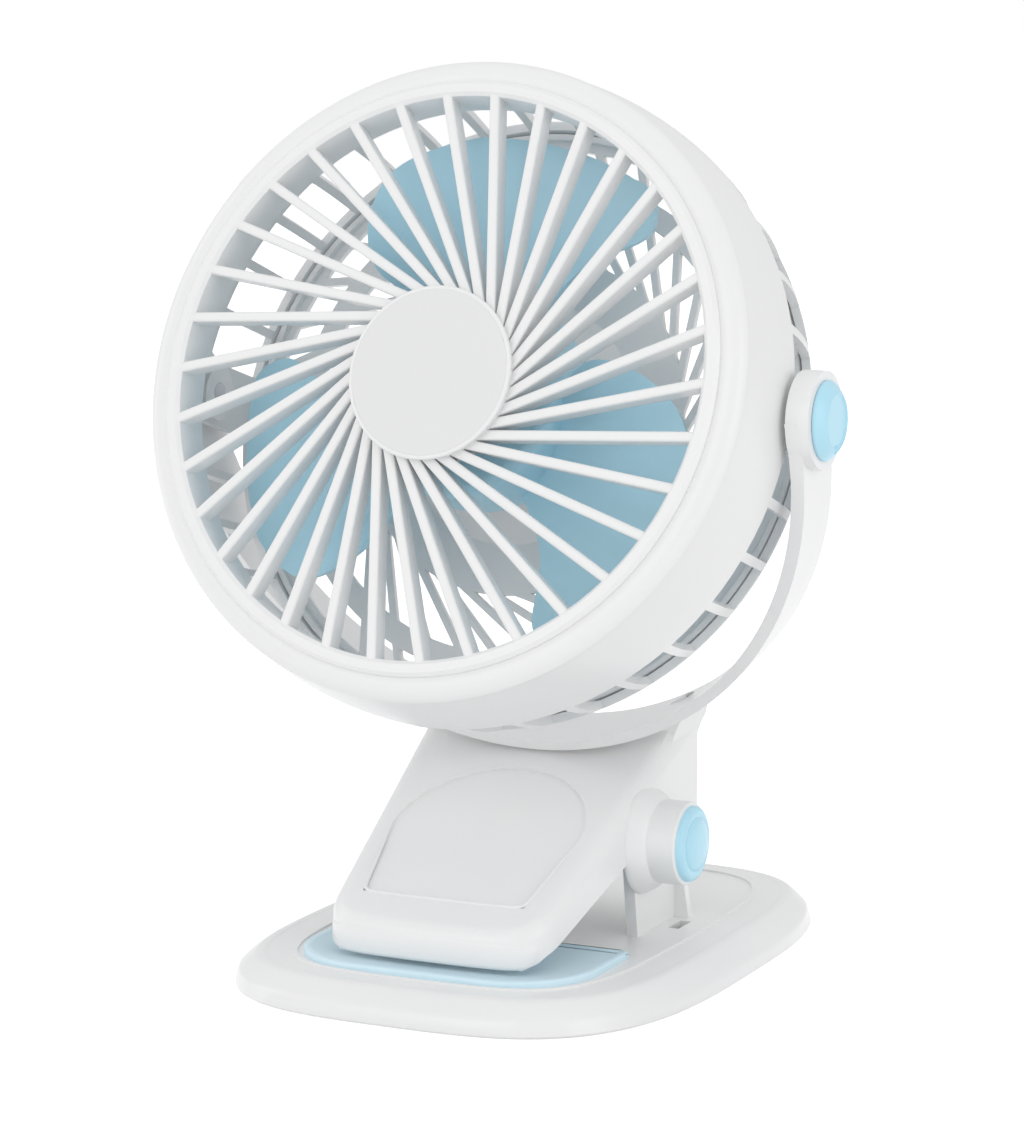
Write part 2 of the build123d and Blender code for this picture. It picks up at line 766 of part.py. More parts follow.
with BuildPart() as usb_socket:
    with BuildSketch(Plane.XZ.offset(-board_y - board_thickness)):
        with Locations((socket_x, control_z)):
            RectangleRounded(socket_width, socket_height, 1.4)
    extrude(amount=-(cover_seat_y + neck_cover_thickness - 0.2 - board_y - board_thickness))
    with BuildSketch(Plane.XZ.offset(-cover_seat_y - neck_cover_thickness)):
        with Locations((socket_x, control_z)):
            RectangleRounded(socket_width - 0.6, socket_height - 0.6, 1.2)
    extrude(amount=6.0, mode=Mode.SUBTRACT)
    with BuildSketch(Plane.XZ.offset(-cover_seat_y - neck_cover_thickness + 0.8)):
        with Locations((socket_x, control_z)):
            Rectangle(6.4, 0.7)
    extrude(amount=6.0)
usb_socket.part.label = "usb_socket"
export_step(usb_socket.part, "parts/usb_socket.step")

button_back = board_y + board_thickness + 1.2 + 1.1
button_face = cover_seat_y + neck_cover_thickness + button_proud
with BuildPart() as power_button:
    with BuildSketch(Plane.XZ.offset(-button_back)):
        with Locations((button_x, control_z)):
            Circle(button_radius - 1.4)
    extrude(amount=-3.0)
    with BuildSketch(Plane.XZ.offset(-cover_seat_y + 0.3)):
        with Locations((button_x, control_z)):
            Circle(button_radius + 0.9)
    extrude(amount=1.2)
    with BuildSketch(Plane.XZ.offset(-cover_seat_y + 1.5)):
        with Locations((button_x, control_z)):
            Circle(button_radius)
    extrude(amount=-(button_face - cover_seat_y + 1.5))
    fillet(power_button.faces().sort_by(Axis.Y)[-1].edges(), 0.5)
power_button.part.label = "power_button"
export_step(power_button.part, "parts/power_button.step")

# Jaw's underside: cover, screws, cell and soft pad.
bay_start = (bay_front[0] - under_front_y) / cos(under_slope)
bay_end = (bay_back_y - under_front_y) / cos(under_slope)
with BuildPart() as jaw_cover:
    with BuildSketch(under_plane):
        with Locations((0, bay_start + 1.0)):
            Rectangle(2 * bay_half_width - 0.5, bay_end - bay_start - 1.8, align=(Align.CENTER, Align.MIN))
        with Locations((jaw_screw_x, jaw_screw_reach), (-jaw_screw_x, jaw_screw_reach)):
            Circle(screw_radius + screw_clearance, mode=Mode.SUBTRACT)
    extrude(amount=jaw_cover_thickness)
    with BuildSketch(under_plane):
        with Locations((jaw_screw_x, jaw_screw_reach), (-jaw_screw_x, jaw_screw_reach)):
            Circle(small_head_radius + screw_head_gap)
    extrude(amount=0.9, mode=Mode.SUBTRACT)
jaw_cover.part.label = "jaw_cover"
export_step(jaw_cover.part, "parts/jaw_cover.step")

with BuildPart() as jaw_screws:
    with BuildSketch(under_plane.offset(0.1)):
        with Locations((jaw_screw_x, jaw_screw_reach), (-jaw_screw_x, jaw_screw_reach)):
            Circle(small_head_radius)
    extrude(amount=0.8)
    with BuildSketch(under_plane.offset(0.1)):
        with Locations((jaw_screw_x, jaw_screw_reach), (-jaw_screw_x, jaw_screw_reach)):
            Circle(screw_radius)
    extrude(amount=6.0)
jaw_screws.part.label = "jaw_screws"
export_step(jaw_screws.part, "parts/jaw_screws.step")

with BuildPart() as battery_cell:
    with BuildSketch(under_plane.offset(jaw_cover_thickness)):
        with Locations((0, 6.0)):
            RectangleRounded(cell_length, cell_width, 1.2, align=(Align.CENTER, Align.MIN))
    extrude(amount=cell_thickness)
battery_cell.part.label = "battery_cell"
export_step(battery_cell.part, "parts/battery_cell.step")

pad_front = (lip_front_y + 2.6, lip_bottom_z + (under_front_z - lip_bottom_z) * 1.8 / 4.8)
pad_back = (-30.0, under_front_z + (-30.0 - under_front_y) * tan(under_slope))
with BuildPart() as jaw_pad:
    with BuildSketch(Plane.YZ.offset(-22)):
        Polygon(
            pad_front,
            (under_front_y, under_front_z),
            pad_back,
            (pad_back[0] + 0.3, pad_back[1] - jaw_pad_thickness),
            (under_front_y + 0.3, under_front_z - jaw_pad_thickness),
            (pad_front[0] + 0.5, pad_front[1] - jaw_pad_thickness),
            align=None,
        )
    extrude(amount=44)
    with BuildSketch():
        with Locations((0, pad_front[0] - 0.1)):
            RectangleRounded(42, 60, 9, align=(Align.CENTER, Align.MIN))
    extrude(amount=40, mode=Mode.INTERSECT)
jaw_pad.part.label = "jaw_pad"
export_step(jaw_pad.part, "parts/jaw_pad.step")

# ================================================================ head
crease_point = (bezel_radius, bezel_edge_height)
lip_outer = opening_radius + lip_width
skirt_outer = bezel_radius - bezel_step - drum_wall - fit_gap
skirt_inner = skirt_outer - front_skirt_wall
seat_height = bezel_edge_height - 0.5
inner_reach = sqrt((hub_radius - 1.0) ** 2 - spoke_offset**2)
outer_reach = sqrt((opening_radius + 0.8) ** 2 - spoke_offset**2)
spoke_top = pivot + head_axis * (opening_height - spoke_drop) - head_up * spoke_offset
spoke_back = spoke_width / 2 - spoke_depth * tan(radians(3))
with BuildPart() as spoke:
    with BuildSketch(Plane(origin=spoke_top + Vector(inner_reach, 0, 0), x_dir=head_up, z_dir=(1, 0, 0))) as spoke_face:
        Polygon(
            (-spoke_width / 2, 0),
            (-spoke_back, -spoke_depth),
            (spoke_back, -spoke_depth),
            (spoke_width / 2, 0),
            align=None,
        )
        fillet(spoke_face.vertices().filter_by(lambda corner: abs(corner.Y) < 0.01), spoke_round)
    extrude(amount=outer_reach - inner_reach)

with BuildPart() as front_grille:
    with BuildSketch(head_section):
        with BuildLine():
            Polyline(
                (opening_radius, duct_end_height),
                (opening_radius, opening_height - lip_round),
                (opening_radius + lip_round, opening_height),
                (lip_outer - lip_round, opening_height),
                (lip_outer, opening_height - lip_round),
                (lip_outer, opening_height - lip_rise),
            )
            ThreePointArc(
                (lip_outer, opening_height - lip_rise),
                (bezel_radius - 1.6, opening_height - lip_rise - 0.4),
                crease_point,
            )
            Polyline(
                crease_point,
                (bezel_radius - bezel_step, seat_height),
                (skirt_outer, seat_height),
                (skirt_outer, seat_height - front_skirt_length),
                (skirt_inner, seat_height - front_skirt_length),
                (skirt_inner, seat_height + 0.6),
                (opening_radius + duct_wall, seat_height + 0.6),
                (opening_radius + duct_wall, duct_end_height),
                (opening_radius, duct_end_height),
            )
        make_face()
    revolve(axis=head_line)
    # skewed spokes
    for index in range(spoke_count):
        add(spoke.part.rotate(head_line, spoke_phase + index * 360 / spoke_count))
    # hub cup behind the disc
    with BuildSketch(head_section):
        with BuildLine():
            Polyline(
                (0, hub_seat_height),
                (hub_radius, hub_seat_height),
                (hub_radius, hub_seat_height - hub_depth),
                (hub_radius - hub_wall, hub_seat_height - hub_depth),
                (hub_radius - hub_wall, hub_seat_height - hub_wall),
                (0, hub_seat_height - hub_wall),
                close=True,
            )
        make_face()
    revolve(axis=head_line)
front_grille.part.label = "front_grille"
export_step(front_grille.part, "parts/front_grille.step")

with BuildPart() as hub_cap:
    with BuildSketch(head_plane.offset(hub_seat_height)):
        Circle(hub_radius - 0.1)
    extrude(amount=hub_cap_thickness)
    fillet(hub_cap.faces().sort_by(head_line)[-1].edges(), 0.6)
hub_cap.part.label = "hub_cap"
export_step(hub_cap.part, "parts/hub_cap.step")

# Side shell with its ring of vents and the two flat pivot pads.
drum_front = (bezel_radius - bezel_step, seat_height)
with BuildPart() as drum_shell:
    with BuildSketch(head_section):
        with BuildLine():
            ThreePointArc(drum_front, (drum_radius, drum_widest_height), (drum_rear_radius, drum_rear_height))
            Line((drum_rear_radius, drum_rear_height), (drum_rear_radius - drum_wall, drum_rear_height))
            ThreePointArc(
                (drum_rear_radius - drum_wall, drum_rear_height),
                (drum_radius - drum_wall, drum_widest_height),
                (drum_front[0] - drum_wall, drum_front[1]),
            )
            Line((drum_front[0] - drum_wall, drum_front[1]), drum_front)
        make_face()
    revolve(axis=head_line)
    # vents, left out where the pivot pads stand
    half_slot = radians(slot_degrees / 2)
    near = drum_radius - 10
    far = drum_radius + 5
    with BuildSketch(head_plane.offset(slot_rear_height)):
        for index in range(slot_count):
            if index not in (0, slot_count // 2):
                with Locations(Location((0, 0, 0), (0, 0, index * 360 / slot_count))):
                    Polygon(
                        (near * cos(half_slot), -near * sin(half_slot)),
                        (far * cos(half_slot), -far * sin(half_slot)),
                        (far * cos(half_slot), far * sin(half_slot)),
                        (near * cos(half_slot), near * sin(half_slot)),
                        align=None,
                    )
    extrude(amount=slot_front_height - slot_rear_height, mode=Mode.SUBTRACT)
    for side in (1, -1):
        add(disc(side * pivot_pad_x, pivot_y, pivot_z, pivot_pad_radius, -side * pivot_pad_depth))
        add(disc(side * pivot_pad_x, pivot_y, pivot_z, pivot_pin_radius, -side * pivot_pad_depth), mode=Mode.SUBTRACT)
drum_shell.part.label = "drum_shell"
export_step(drum_shell.part, "parts/drum_shell.step")

# Rear grille: rounded rim with a short spigot, skewed bars, ring, and the disc with the motor's pod.
spigot_radius = drum_rear_radius - drum_wall - fit_gap
plate_back = rear_plate_height
plate_front = rear_plate_height + rear_plate_thickness
with BuildPart() as rear_grille:
    with BuildSketch(head_section):
        with BuildLine():
            Polyline(
                (drum_rear_radius - rear_corner, plate_back),
                (0, plate_back),
                (0, pod_front_height),
                (pod_radius, pod_front_height),
                (pod_base_radius, plate_front),
                (spigot_radius - spigot_wall, plate_front),
                (spigot_radius - spigot_wall, plate_front + spigot_height),
                (spigot_radius, plate_front + spigot_height),
                (spigot_radius, plate_front),
                (drum_rear_radius - fit_gap, plate_front),
            )
            ThreePointArc(
                (drum_rear_radius - fit_gap, plate_front),
                (drum_rear_radius - 0.4 * rear_corner, plate_back + 0.35 * rear_plate_thickness),
                (drum_rear_radius - rear_corner, plate_back),
            )
        make_face()
    revolve(axis=head_line)
    with BuildSketch(head_plane.offset(plate_back - 1)):
        Circle(rim_inner_radius)
        Circle(rear_ring_radius + rear_ring_width / 2, mode=Mode.SUBTRACT)
        Circle(rear_ring_radius - rear_ring_width / 2)
        Circle(disc_radius, mode=Mode.SUBTRACT)
        with PolarLocations(0, rear_bar_count, start_angle=rear_bar_phase):
            with Locations((44, -rear_bar_offset)):
                Rectangle(70, rear_bar_width, mode=Mode.SUBTRACT)
    extrude(amount=rear_plate_thickness + 3, mode=Mode.SUBTRACT)
    # pod open at the back, with holes for the motor's collar and screws
    with BuildSketch(head_plane.offset(plate_back)):
        Circle(pod_radius - pod_wall)
    extrude(amount=pod_front_height - pod_wall - plate_back, mode=Mode.SUBTRACT)
    with BuildSketch(head_plane.offset(plate_back)):
        Circle(motor_collar_radius + 0.1)
        with Locations((motor_screw_x, 0), (-motor_screw_x, 0)):
            Circle(motor_screw_radius + screw_clearance + 0.1)
    extrude(amount=30, mode=Mode.SUBTRACT)
rear_grille.part.label = "rear_grille"
export_step(rear_grille.part, "parts/rear_grille.step")

with BuildPart() as rear_cap:
    with BuildSketch(head_section):
        with BuildLine():
            cap_seat = rear_plate_height
            Polyline(
                (3.0, rear_cap_height),
                (0, rear_cap_height),
                (0, rear_cap_height + 1.8),
                (pod_radius - pod_wall - 2.0, cap_seat - 1.2),
                (pod_radius - pod_wall - 2.0, cap_seat + 2.0),
                (pod_radius - pod_wall - fit_gap, cap_seat + 2.0),
                (pod_radius - pod_wall - fit_gap, cap_seat),
                (rear_cap_rim, cap_seat),
                (rear_cap_rim, cap_seat - 1.6),
            )
            ThreePointArc(
                (rear_cap_rim, cap_seat - 1.6), (rear_cap_rim - 6.0, rear_cap_height + 1.6), (3.0, rear_cap_height)
            )
        make_face()
    revolve(axis=head_line)
rear_cap.part.label = "rear_cap"
export_step(rear_cap.part, "parts/rear_cap.step")

# ================================================================ motor and rotor
with BuildPart() as motor_can:
    with BuildSketch(head_plane.offset(pod_front_height)):
        Circle(motor_radius)
    extrude(amount=motor_front_height - pod_front_height)
    with BuildSketch(head_plane.offset(pod_front_height)):
        Circle(motor_collar_radius)
    extrude(amount=-motor_collar_length)
    with BuildSketch(head_plane.offset(pod_front_height - motor_collar_length)):
        Circle(shaft_radius + running_gap)
        with Locations((motor_screw_x, 0), (-motor_screw_x, 0)):
            Circle(motor_screw_radius)
    extrude(amount=motor_collar_length + 3.0, mode=Mode.SUBTRACT)
    with BuildSketch(head_plane.offset(pod_front_height)):
        Circle(shaft_radius + running_gap)
    extrude(amount=30, mode=Mode.SUBTRACT)
motor_can.part.label = "motor_can"
export_step(motor_can.part, "parts/motor_can.step")

with BuildPart() as motor_screws:
    with BuildSketch(head_plane.offset(pod_front_height - pod_wall)):
        with Locations((motor_screw_x, 0), (-motor_screw_x, 0)):
            Circle(motor_screw_head)
    extrude(amount=-1.0)
    with BuildSketch(head_plane.offset(pod_front_height - pod_wall)):
        with Locations((motor_screw_x, 0), (-motor_screw_x, 0)):
            Circle(motor_screw_radius)
    extrude(amount=pod_wall + 2.6)
motor_screws.part.label = "motor_screws"
export_step(motor_screws.part, "parts/motor_screws.step")

with BuildPart() as motor_bush:
    with BuildSketch(head_plane.offset(motor_front_height)):
        Circle(bush_radius)
        Circle(shaft_radius + running_gap, mode=Mode.SUBTRACT)
    extrude(amount=bush_length)
motor_bush.part.label = "motor_bush"
export_step(motor_bush.part, "parts/motor_bush.step")

shaft_back_height = pod_front_height - motor_collar_length - 1.0
with BuildPart() as motor_shaft:
    with BuildSketch(head_plane.offset(shaft_back_height)):
        Circle(shaft_radius)
    extrude(amount=shaft_front_height - shaft_back_height)
motor_shaft.part.label = "motor_shaft"
export_step(motor_shaft.part, "parts/motor_shaft.step")

# one blade: a twisted, cambered sheet, wide at first, then trimmed to the blade's outline
blade_sections = [
    (14.0, 60.0, 28.0),
    (30.0, 74.0, 22.5),
    (46.0, 88.0, 18.0),
    (62.0, 96.0, 15.0),
]
# the outline in parts of the tip radius and degrees from the head's right
front_edge = [(0.34, 117), (0.41, 124), (0.53, 131), (0.72, 126.5), (0.82, 121.5), (0.90, 116), (0.96, 107), (1.0, 96)]
rear_edge = [(1.0, 61), (0.965, 53), (0.90, 50.5), (0.75, 54), (0.58, 60), (0.41, 61), (0.34, 61)]


def blade_spot(part, angle):
    """A point of the blade's outline in the head plane."""
    reach = part * blade_tip_radius
    return (reach * cos(radians(angle)), reach * sin(radians(angle)))


with BuildPart() as blade:
    for reach, blade_chord, pitch in blade_sections:
        section = Plane(
            origin=pivot + head_up * reach + head_axis * blade_mid_height,
            x_dir=head_axis.cross(head_up),
            z_dir=head_up,
        )
        lean = radians(pitch)
        bow = blade_chord**2 / (8 * blade_bow_radius)
        end_x = blade_chord / 2 * cos(lean)
        end_y = blade_chord / 2 * sin(lean)
        bow_x = -sin(lean) * bow
        bow_y = cos(lean) * bow
        skin_x = -sin(lean) * blade_thickness / 2
        skin_y = cos(lean) * blade_thickness / 2
        first = Vector(bow_x - end_x, bow_y - end_y)
        last = Vector(bow_x + end_x, bow_y + end_y)
        skin = Vector(skin_x, skin_y)
        with BuildSketch(section):
            with BuildLine():
                ThreePointArc(first + skin, skin, last + skin)
                Line(last + skin, last - skin)
                ThreePointArc(last - skin, skin * -1, first - skin)
                Line(first - skin, first + skin)
            make_face()
    loft()
    with BuildSketch(head_plane.offset(-30)):
        with BuildLine():
            Spline(*[blade_spot(*spot) for spot in front_edge])
            ThreePointArc(blade_spot(*front_edge[-1]), blade_spot(1.0, 78), blade_spot(*rear_edge[0]))
            Spline(*[blade_spot(*spot) for spot in rear_edge])
            Line(blade_spot(*rear_edge[-1]), blade_spot(*front_edge[0]))
        make_face()
        Circle(rotor_hub_radius - rotor_hub_wall / 2, mode=Mode.SUBTRACT)
    extrude(amount=70, mode=Mode.INTERSECT)

with BuildPart() as rotor:
    with BuildSketch(head_section):
        with BuildLine():
            Line((shaft_radius, rotor_hub_front), (rotor_hub_radius - rotor_hub_round, rotor_hub_front))
            ThreePointArc(
                (rotor_hub_radius - rotor_hub_round, rotor_hub_front),
                (rotor_hub_radius - 0.3 * rotor_hub_round, rotor_hub_front - 0.3 * rotor_hub_round),
                (rotor_hub_radius, rotor_hub_front - rotor_hub_round),
            )
            Polyline(
                (rotor_hub_radius, rotor_hub_front - rotor_hub_round),
                (rotor_hub_radius, rotor_hub_back),
                (rotor_hub_radius - rotor_hub_wall, rotor_hub_back),
                (rotor_hub_radius - rotor_hub_wall, rotor_hub_front - rotor_hub_wall),
                (rotor_boss_radius, rotor_hub_front - rotor_hub_wall),
                (rotor_boss_radius, rotor_boss_height),
                (shaft_radius, rotor_boss_height),
                (shaft_radius, rotor_hub_front),
            )
        make_face()
    revolve(axis=head_line)
    for index in range(blade_count):
        add(blade.part.rotate(head_line, index * 360 / blade_count))
rotor.part.label = "rotor"
export_step(rotor.part, "parts/rotor.step")

# ================================================================ pivots and coloured caps
for side, word in ((1, "right"), (-1, "left")):
    head_x = boss_outer_x - cap_skirt_depth - 0.3
    tail_x = pivot_pad_x - pivot_pad_depth
    with BuildPart() as pivot_pin:
        add(disc(side * tail_x, pivot_y, pivot_z, pivot_pin_radius, side * (head_x - tail_x)))
        add(disc(side * head_x, pivot_y, pivot_z, pivot_head_radius, side * pivot_head_height))
    pivot_pin.part.label = f"pivot_pin_{word}"
    export_step(pivot_pin.part, f"parts/pivot_pin_{word}.step")

    with BuildPart() as pivot_washer:
        add(disc(side * pivot_pad_x, pivot_y, pivot_z, washer_radius, side * washer_thickness))
        add(disc(side * pivot_pad_x, pivot_y, pivot_z, pivot_pin_radius, side * washer_thickness), mode=Mode.SUBTRACT)
    pivot_washer.part.label = f"pivot_washer_{word}"
    export_step(pivot_washer.part, f"parts/pivot_washer_{word}.step")


def make_cap(side, rim_x, y, z):
    """A coloured cap: dished face, rounded shoulder and a snap skirt."""
    socket_fit = cap_socket_radius - 0.15
    section = Plane(origin=(side * rim_x, y, z), x_dir=(0, 1, 0), z_dir=(0, 0, -side))
    shoulder = cap_bulge - 0.1
    with BuildPart(mode=Mode.PRIVATE) as cap:
        with BuildSketch(section):
            with BuildLine():
                Polyline(
                    (0, 0.9),
                    (0, cap_bulge - 0.5),
                    (cap_face_radius - 0.4, cap_bulge - 0.5),
                    (cap_face_radius, shoulder),
                )
                ThreePointArc((cap_face_radius, shoulder), (cap_radius - 0.8, cap_bulge - 1.4), (cap_radius, 0.6))
                Polyline(
                    (cap_radius, 0.6),
                    (cap_radius, 0.1),
                    (socket_fit, 0.1),
                    (socket_fit, -cap_skirt_depth),
                    (socket_fit - cap_skirt_wall, -cap_skirt_depth),
                    (socket_fit - cap_skirt_wall, 0.9),
                    (0, 0.9),
                )
            make_face()
        revolve(axis=Axis((side * rim_x, y, z), (side, 0, 0)))
        # thumb notch at the bottom of the dished face
        with Locations(Location((side * (rim_x + cap_bulge + 0.4), y, z - cap_face_radius - 0.2))):
            Sphere(1.5, mode=Mode.SUBTRACT)
    return cap.part


with BuildPart() as hinge_ring:
    add(disc(ear_outer_right, hinge_y, hinge_z, hinge_ring_radius, hinge_cap_x - ear_outer_right))
    add(disc(ear_outer_right, hinge_y, hinge_z, hinge_pin_radius + 0.3, 10), mode=Mode.SUBTRACT)
    add(disc(pin_head_x - 0.3, hinge_y, hinge_z, cap_socket_radius, 10), mode=Mode.SUBTRACT)
    fillet(hinge_ring.edges().group_by(Axis.X)[-1].sort_by(SortBy.RADIUS)[-1], 0.5)
hinge_ring.part.label = "hinge_ring"
export_step(hinge_ring.part, "parts/hinge_ring.step")

hinge_cap = make_cap(1, hinge_cap_x, hinge_y, hinge_z)
hinge_cap.label = "hinge_cap"
export_step(hinge_cap, "parts/hinge_cap.step")

pivot_cap_right = make_cap(1, boss_outer_x, pivot_y, pivot_z)
pivot_cap_right.label = "pivot_cap_right"
export_step(pivot_cap_right, "parts/pivot_cap_right.step")

pivot_cap_left = make_cap(-1, boss_outer_x, pivot_y, pivot_z)
pivot_cap_left.label = "pivot_cap_left"
export_step(pivot_cap_left, "parts/pivot_cap_left.step")
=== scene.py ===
import bpy
from math import atan2, cos, radians, sin
from mathutils import Matrix, Vector


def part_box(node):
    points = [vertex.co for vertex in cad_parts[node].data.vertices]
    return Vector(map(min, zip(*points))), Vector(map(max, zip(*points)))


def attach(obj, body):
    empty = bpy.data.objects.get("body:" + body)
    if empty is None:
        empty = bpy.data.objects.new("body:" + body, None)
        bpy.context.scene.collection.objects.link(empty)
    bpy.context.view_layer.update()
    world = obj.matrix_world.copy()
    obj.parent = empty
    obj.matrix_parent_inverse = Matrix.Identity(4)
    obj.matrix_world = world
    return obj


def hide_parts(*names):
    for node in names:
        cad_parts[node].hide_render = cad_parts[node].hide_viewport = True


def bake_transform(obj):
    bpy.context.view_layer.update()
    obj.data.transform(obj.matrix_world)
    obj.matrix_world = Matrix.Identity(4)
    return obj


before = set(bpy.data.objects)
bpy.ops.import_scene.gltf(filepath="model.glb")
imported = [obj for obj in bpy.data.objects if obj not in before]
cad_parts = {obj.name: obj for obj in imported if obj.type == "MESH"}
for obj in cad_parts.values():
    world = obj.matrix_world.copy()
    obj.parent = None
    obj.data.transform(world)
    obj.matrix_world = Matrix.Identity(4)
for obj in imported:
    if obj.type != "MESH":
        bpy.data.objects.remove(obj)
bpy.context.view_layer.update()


# ---------------------------------------------------------------- studio
# A plain pale floor that runs to white, a large soft lamp in front, one on
# each side and a weak one above, as for a white product on a white sweep.
def srgb(code):
    """A hex colour as the linear values that shaders take."""
    parts = [int(code[i:i + 2], 16) / 255 for i in (1, 3, 5)]
    return tuple(p / 12.92 if p <= 0.04045 else ((p + 0.055) / 1.055) ** 2.4 for p in parts) + (1.0,)


def add_node(tree, kind, settings=None, links=None):
    """One shader node: settings are its own values or sockets, links go from other nodes' outputs to its sockets."""
    made = tree.nodes.new(kind)
    for key, value in (settings or {}).items():
        if isinstance(key, str) and hasattr(made, key):
            setattr(made, key, value)
        else:
            made.inputs[key].default_value = value
    for key, (source, output) in (links or {}).items():
        tree.links.new(source.outputs[output], made.inputs[key])
    return made


def blank_material(name):
    """An empty node material."""
    material = bpy.data.materials.new(name)
    material.use_nodes = True
    material.node_tree.nodes.clear()
    return material


# Matt paper: takes the fan's soft shadow, and looks white to the camera.
floor_paint = blank_material("matt_white_sweep_paper")
tree = floor_paint.node_tree
paper = add_node(tree, "ShaderNodeBsdfDiffuse", {"Color": srgb("#eeeeee")})
glow = add_node(tree, "ShaderNodeEmission", {"Color": srgb("#ffffff"), "Strength": 0.62})
seen = add_node(tree, "ShaderNodeAddShader", links={0: (paper, 0), 1: (glow, 0)})
ray = add_node(tree, "ShaderNodeLightPath")
either = add_node(tree, "ShaderNodeMath", {"operation": "MAXIMUM"},
                  {0: (ray, "Is Camera Ray"), 1: (ray, "Is Glossy Ray")})
floor_mix = add_node(tree, "ShaderNodeMixShader", links={0: (either, 0), 1: (paper, 0), 2: (seen, 0)})
add_node(tree, "ShaderNodeOutputMaterial", links={"Surface": (floor_mix, 0)})

bpy.ops.mesh.primitive_circle_add(vertices=96, radius=6.0, fill_type="NGON", location=(0, 0, 0))
floor = bpy.context.object
floor.name = "studio_floor"
floor.data.materials.append(floor_paint)

world = bpy.data.worlds.new("white_studio_room")
bpy.context.scene.world = world
world.use_nodes = True
tree = world.node_tree
tree.nodes.clear()
ray = add_node(tree, "ShaderNodeLightPath")
either = add_node(tree, "ShaderNodeMath", {"operation": "MAXIMUM"},
                  {0: (ray, "Is Camera Ray"), 1: (ray, "Is Transmission Ray")})
room = add_node(tree, "ShaderNodeBackground", {"Color": srgb("#fafafa"), "Strength": 0.83})
white = add_node(tree, "ShaderNodeBackground", {"Color": srgb("#ffffff"), "Strength": 1.0})
room_mix = add_node(tree, "ShaderNodeMixShader", links={0: (either, 0), 1: (room, 0), 2: (white, 0)})
add_node(tree, "ShaderNodeOutputWorld", links={"Surface": (room_mix, 0)})


def soft_lamp(name, place, aim, width, height, power):
    """A rectangular soft box that points at a spot."""
    bpy.ops.object.light_add(type="AREA", location=place)
    lamp = bpy.context.object
    lamp.name = name
    lamp.rotation_euler = (Vector(aim) - Vector(place)).to_track_quat("-Z", "Y").to_euler()
    lamp.data.shape = "RECTANGLE"
    lamp.data.size = width
    lamp.data.size_y = height
    lamp.data.energy = power


soft_lamp("front_soft_box", (-0.25, -1.7, 0.75), (0, 0, 0.12), 1.3, 1.1, 5.0)
soft_lamp("right_soft_box", (1.7, -0.5, 0.55), (0, 0, 0.12), 1.0, 1.2, 4.3)
soft_lamp("left_strip_box", (-1.6, -0.3, 0.6), (0, 0, 0.12), 0.5, 1.2, 2.0)
soft_lamp("top_soft_box", (0.0, 0.3, 1.7), (0, 0, 0.1), 1.0, 1.0, 0.5)

# The camera stands low in front and to the fan's right, as in the photograph.
camera_turn = radians(25.7)
camera_drop = radians(8.0)
camera_back = Vector((sin(camera_turn) * cos(camera_drop), -cos(camera_turn) * cos(camera_drop), sin(camera_drop)))
focal_pixels = 3395.5
frame_height_pixels = 1121
bpy.ops.object.camera_add(location=(0.328704, -0.694237, 0.198639))
camera = bpy.context.object
camera.rotation_euler = (-camera_back).to_track_quat("-Z", "Y").to_euler()
camera.data.sensor_width = 36.0
camera.data.lens = 36.0 * focal_pixels / frame_height_pixels
bpy.context.scene.camera = camera
bpy.context.scene.view_settings.view_transform = "Standard"


# ---------------------------------------------------------------- clip base
# Low rounded plate with two hinge posts, one moulding of white ABS. The tool
# is polished, and the rest of the clip is built up on this piece.
def moulded_abs(name, code, roughness, grain, pore=1.1):
    """Injection-moulded plastic with a faint orange-peel wave: grain is its depth and pore its width in millimetres."""
    material = blank_material(name)
    tree = material.node_tree
    pale = srgb(code)
    deep = (pale[0] * 0.975, pale[1] * 0.98, pale[2] * 0.985, 1.0)
    place = add_node(tree, "ShaderNodeTexCoord")
    # orange peel, drawn wider than the real few tenths of a millimetre so that it shows
    wave = add_node(tree, "ShaderNodeTexNoise", {"Scale": 1000 / pore, "Detail": 2.0, "Roughness": 0.45},
                    {"Vector": (place, "Object")})
    # flow clouds in the plastic, some 38 mm wide
    cloud = add_node(tree, "ShaderNodeTexNoise", {"Scale": 1000 / 38.0, "Detail": 2.0, "Roughness": 0.5},
                     {"Vector": (place, "Object")})
    tint = add_node(tree, "ShaderNodeMixRGB", {"Color1": pale, "Color2": deep}, {"Fac": (cloud, "Fac")})
    shine = add_node(tree, "ShaderNodeMapRange",
                     {"From Min": 0.3, "From Max": 0.7, "To Min": roughness - 0.03, "To Max": roughness + 0.04},
                     {"Value": (cloud, "Fac")})
    bump = add_node(tree, "ShaderNodeBump", {"Strength": 0.35, "Distance": grain / 1000},
                    {"Height": (wave, "Fac")})
    skin = add_node(tree, "ShaderNodeBsdfPrincipled", {"IOR": 1.54},
                    {"Base Color": (tint, 0), "Roughness": (shine, 0), "Normal": (bump, 0)})
    add_node(tree, "ShaderNodeOutputMaterial", links={"Surface": (skin, 0)})
    return material


def clear_selection():
    """Nothing selected, in object mode."""
    if bpy.context.object and bpy.context.object.mode != "OBJECT":
        bpy.ops.object.mode_set(mode="OBJECT")
    bpy.ops.object.select_all(action="DESELECT")


def new_piece(name, material):
    """Names the object just made, gives it its finish and sets its place into its mesh."""
    if bpy.context.object.mode != "OBJECT":
        bpy.ops.object.mode_set(mode="OBJECT")
    piece = bpy.context.object
    bpy.ops.object.transform_apply(location=True, rotation=True, scale=True)
    piece.name = name
    piece.data.name = name
    piece.data.materials.clear()
    piece.data.materials.append(material)
    return piece


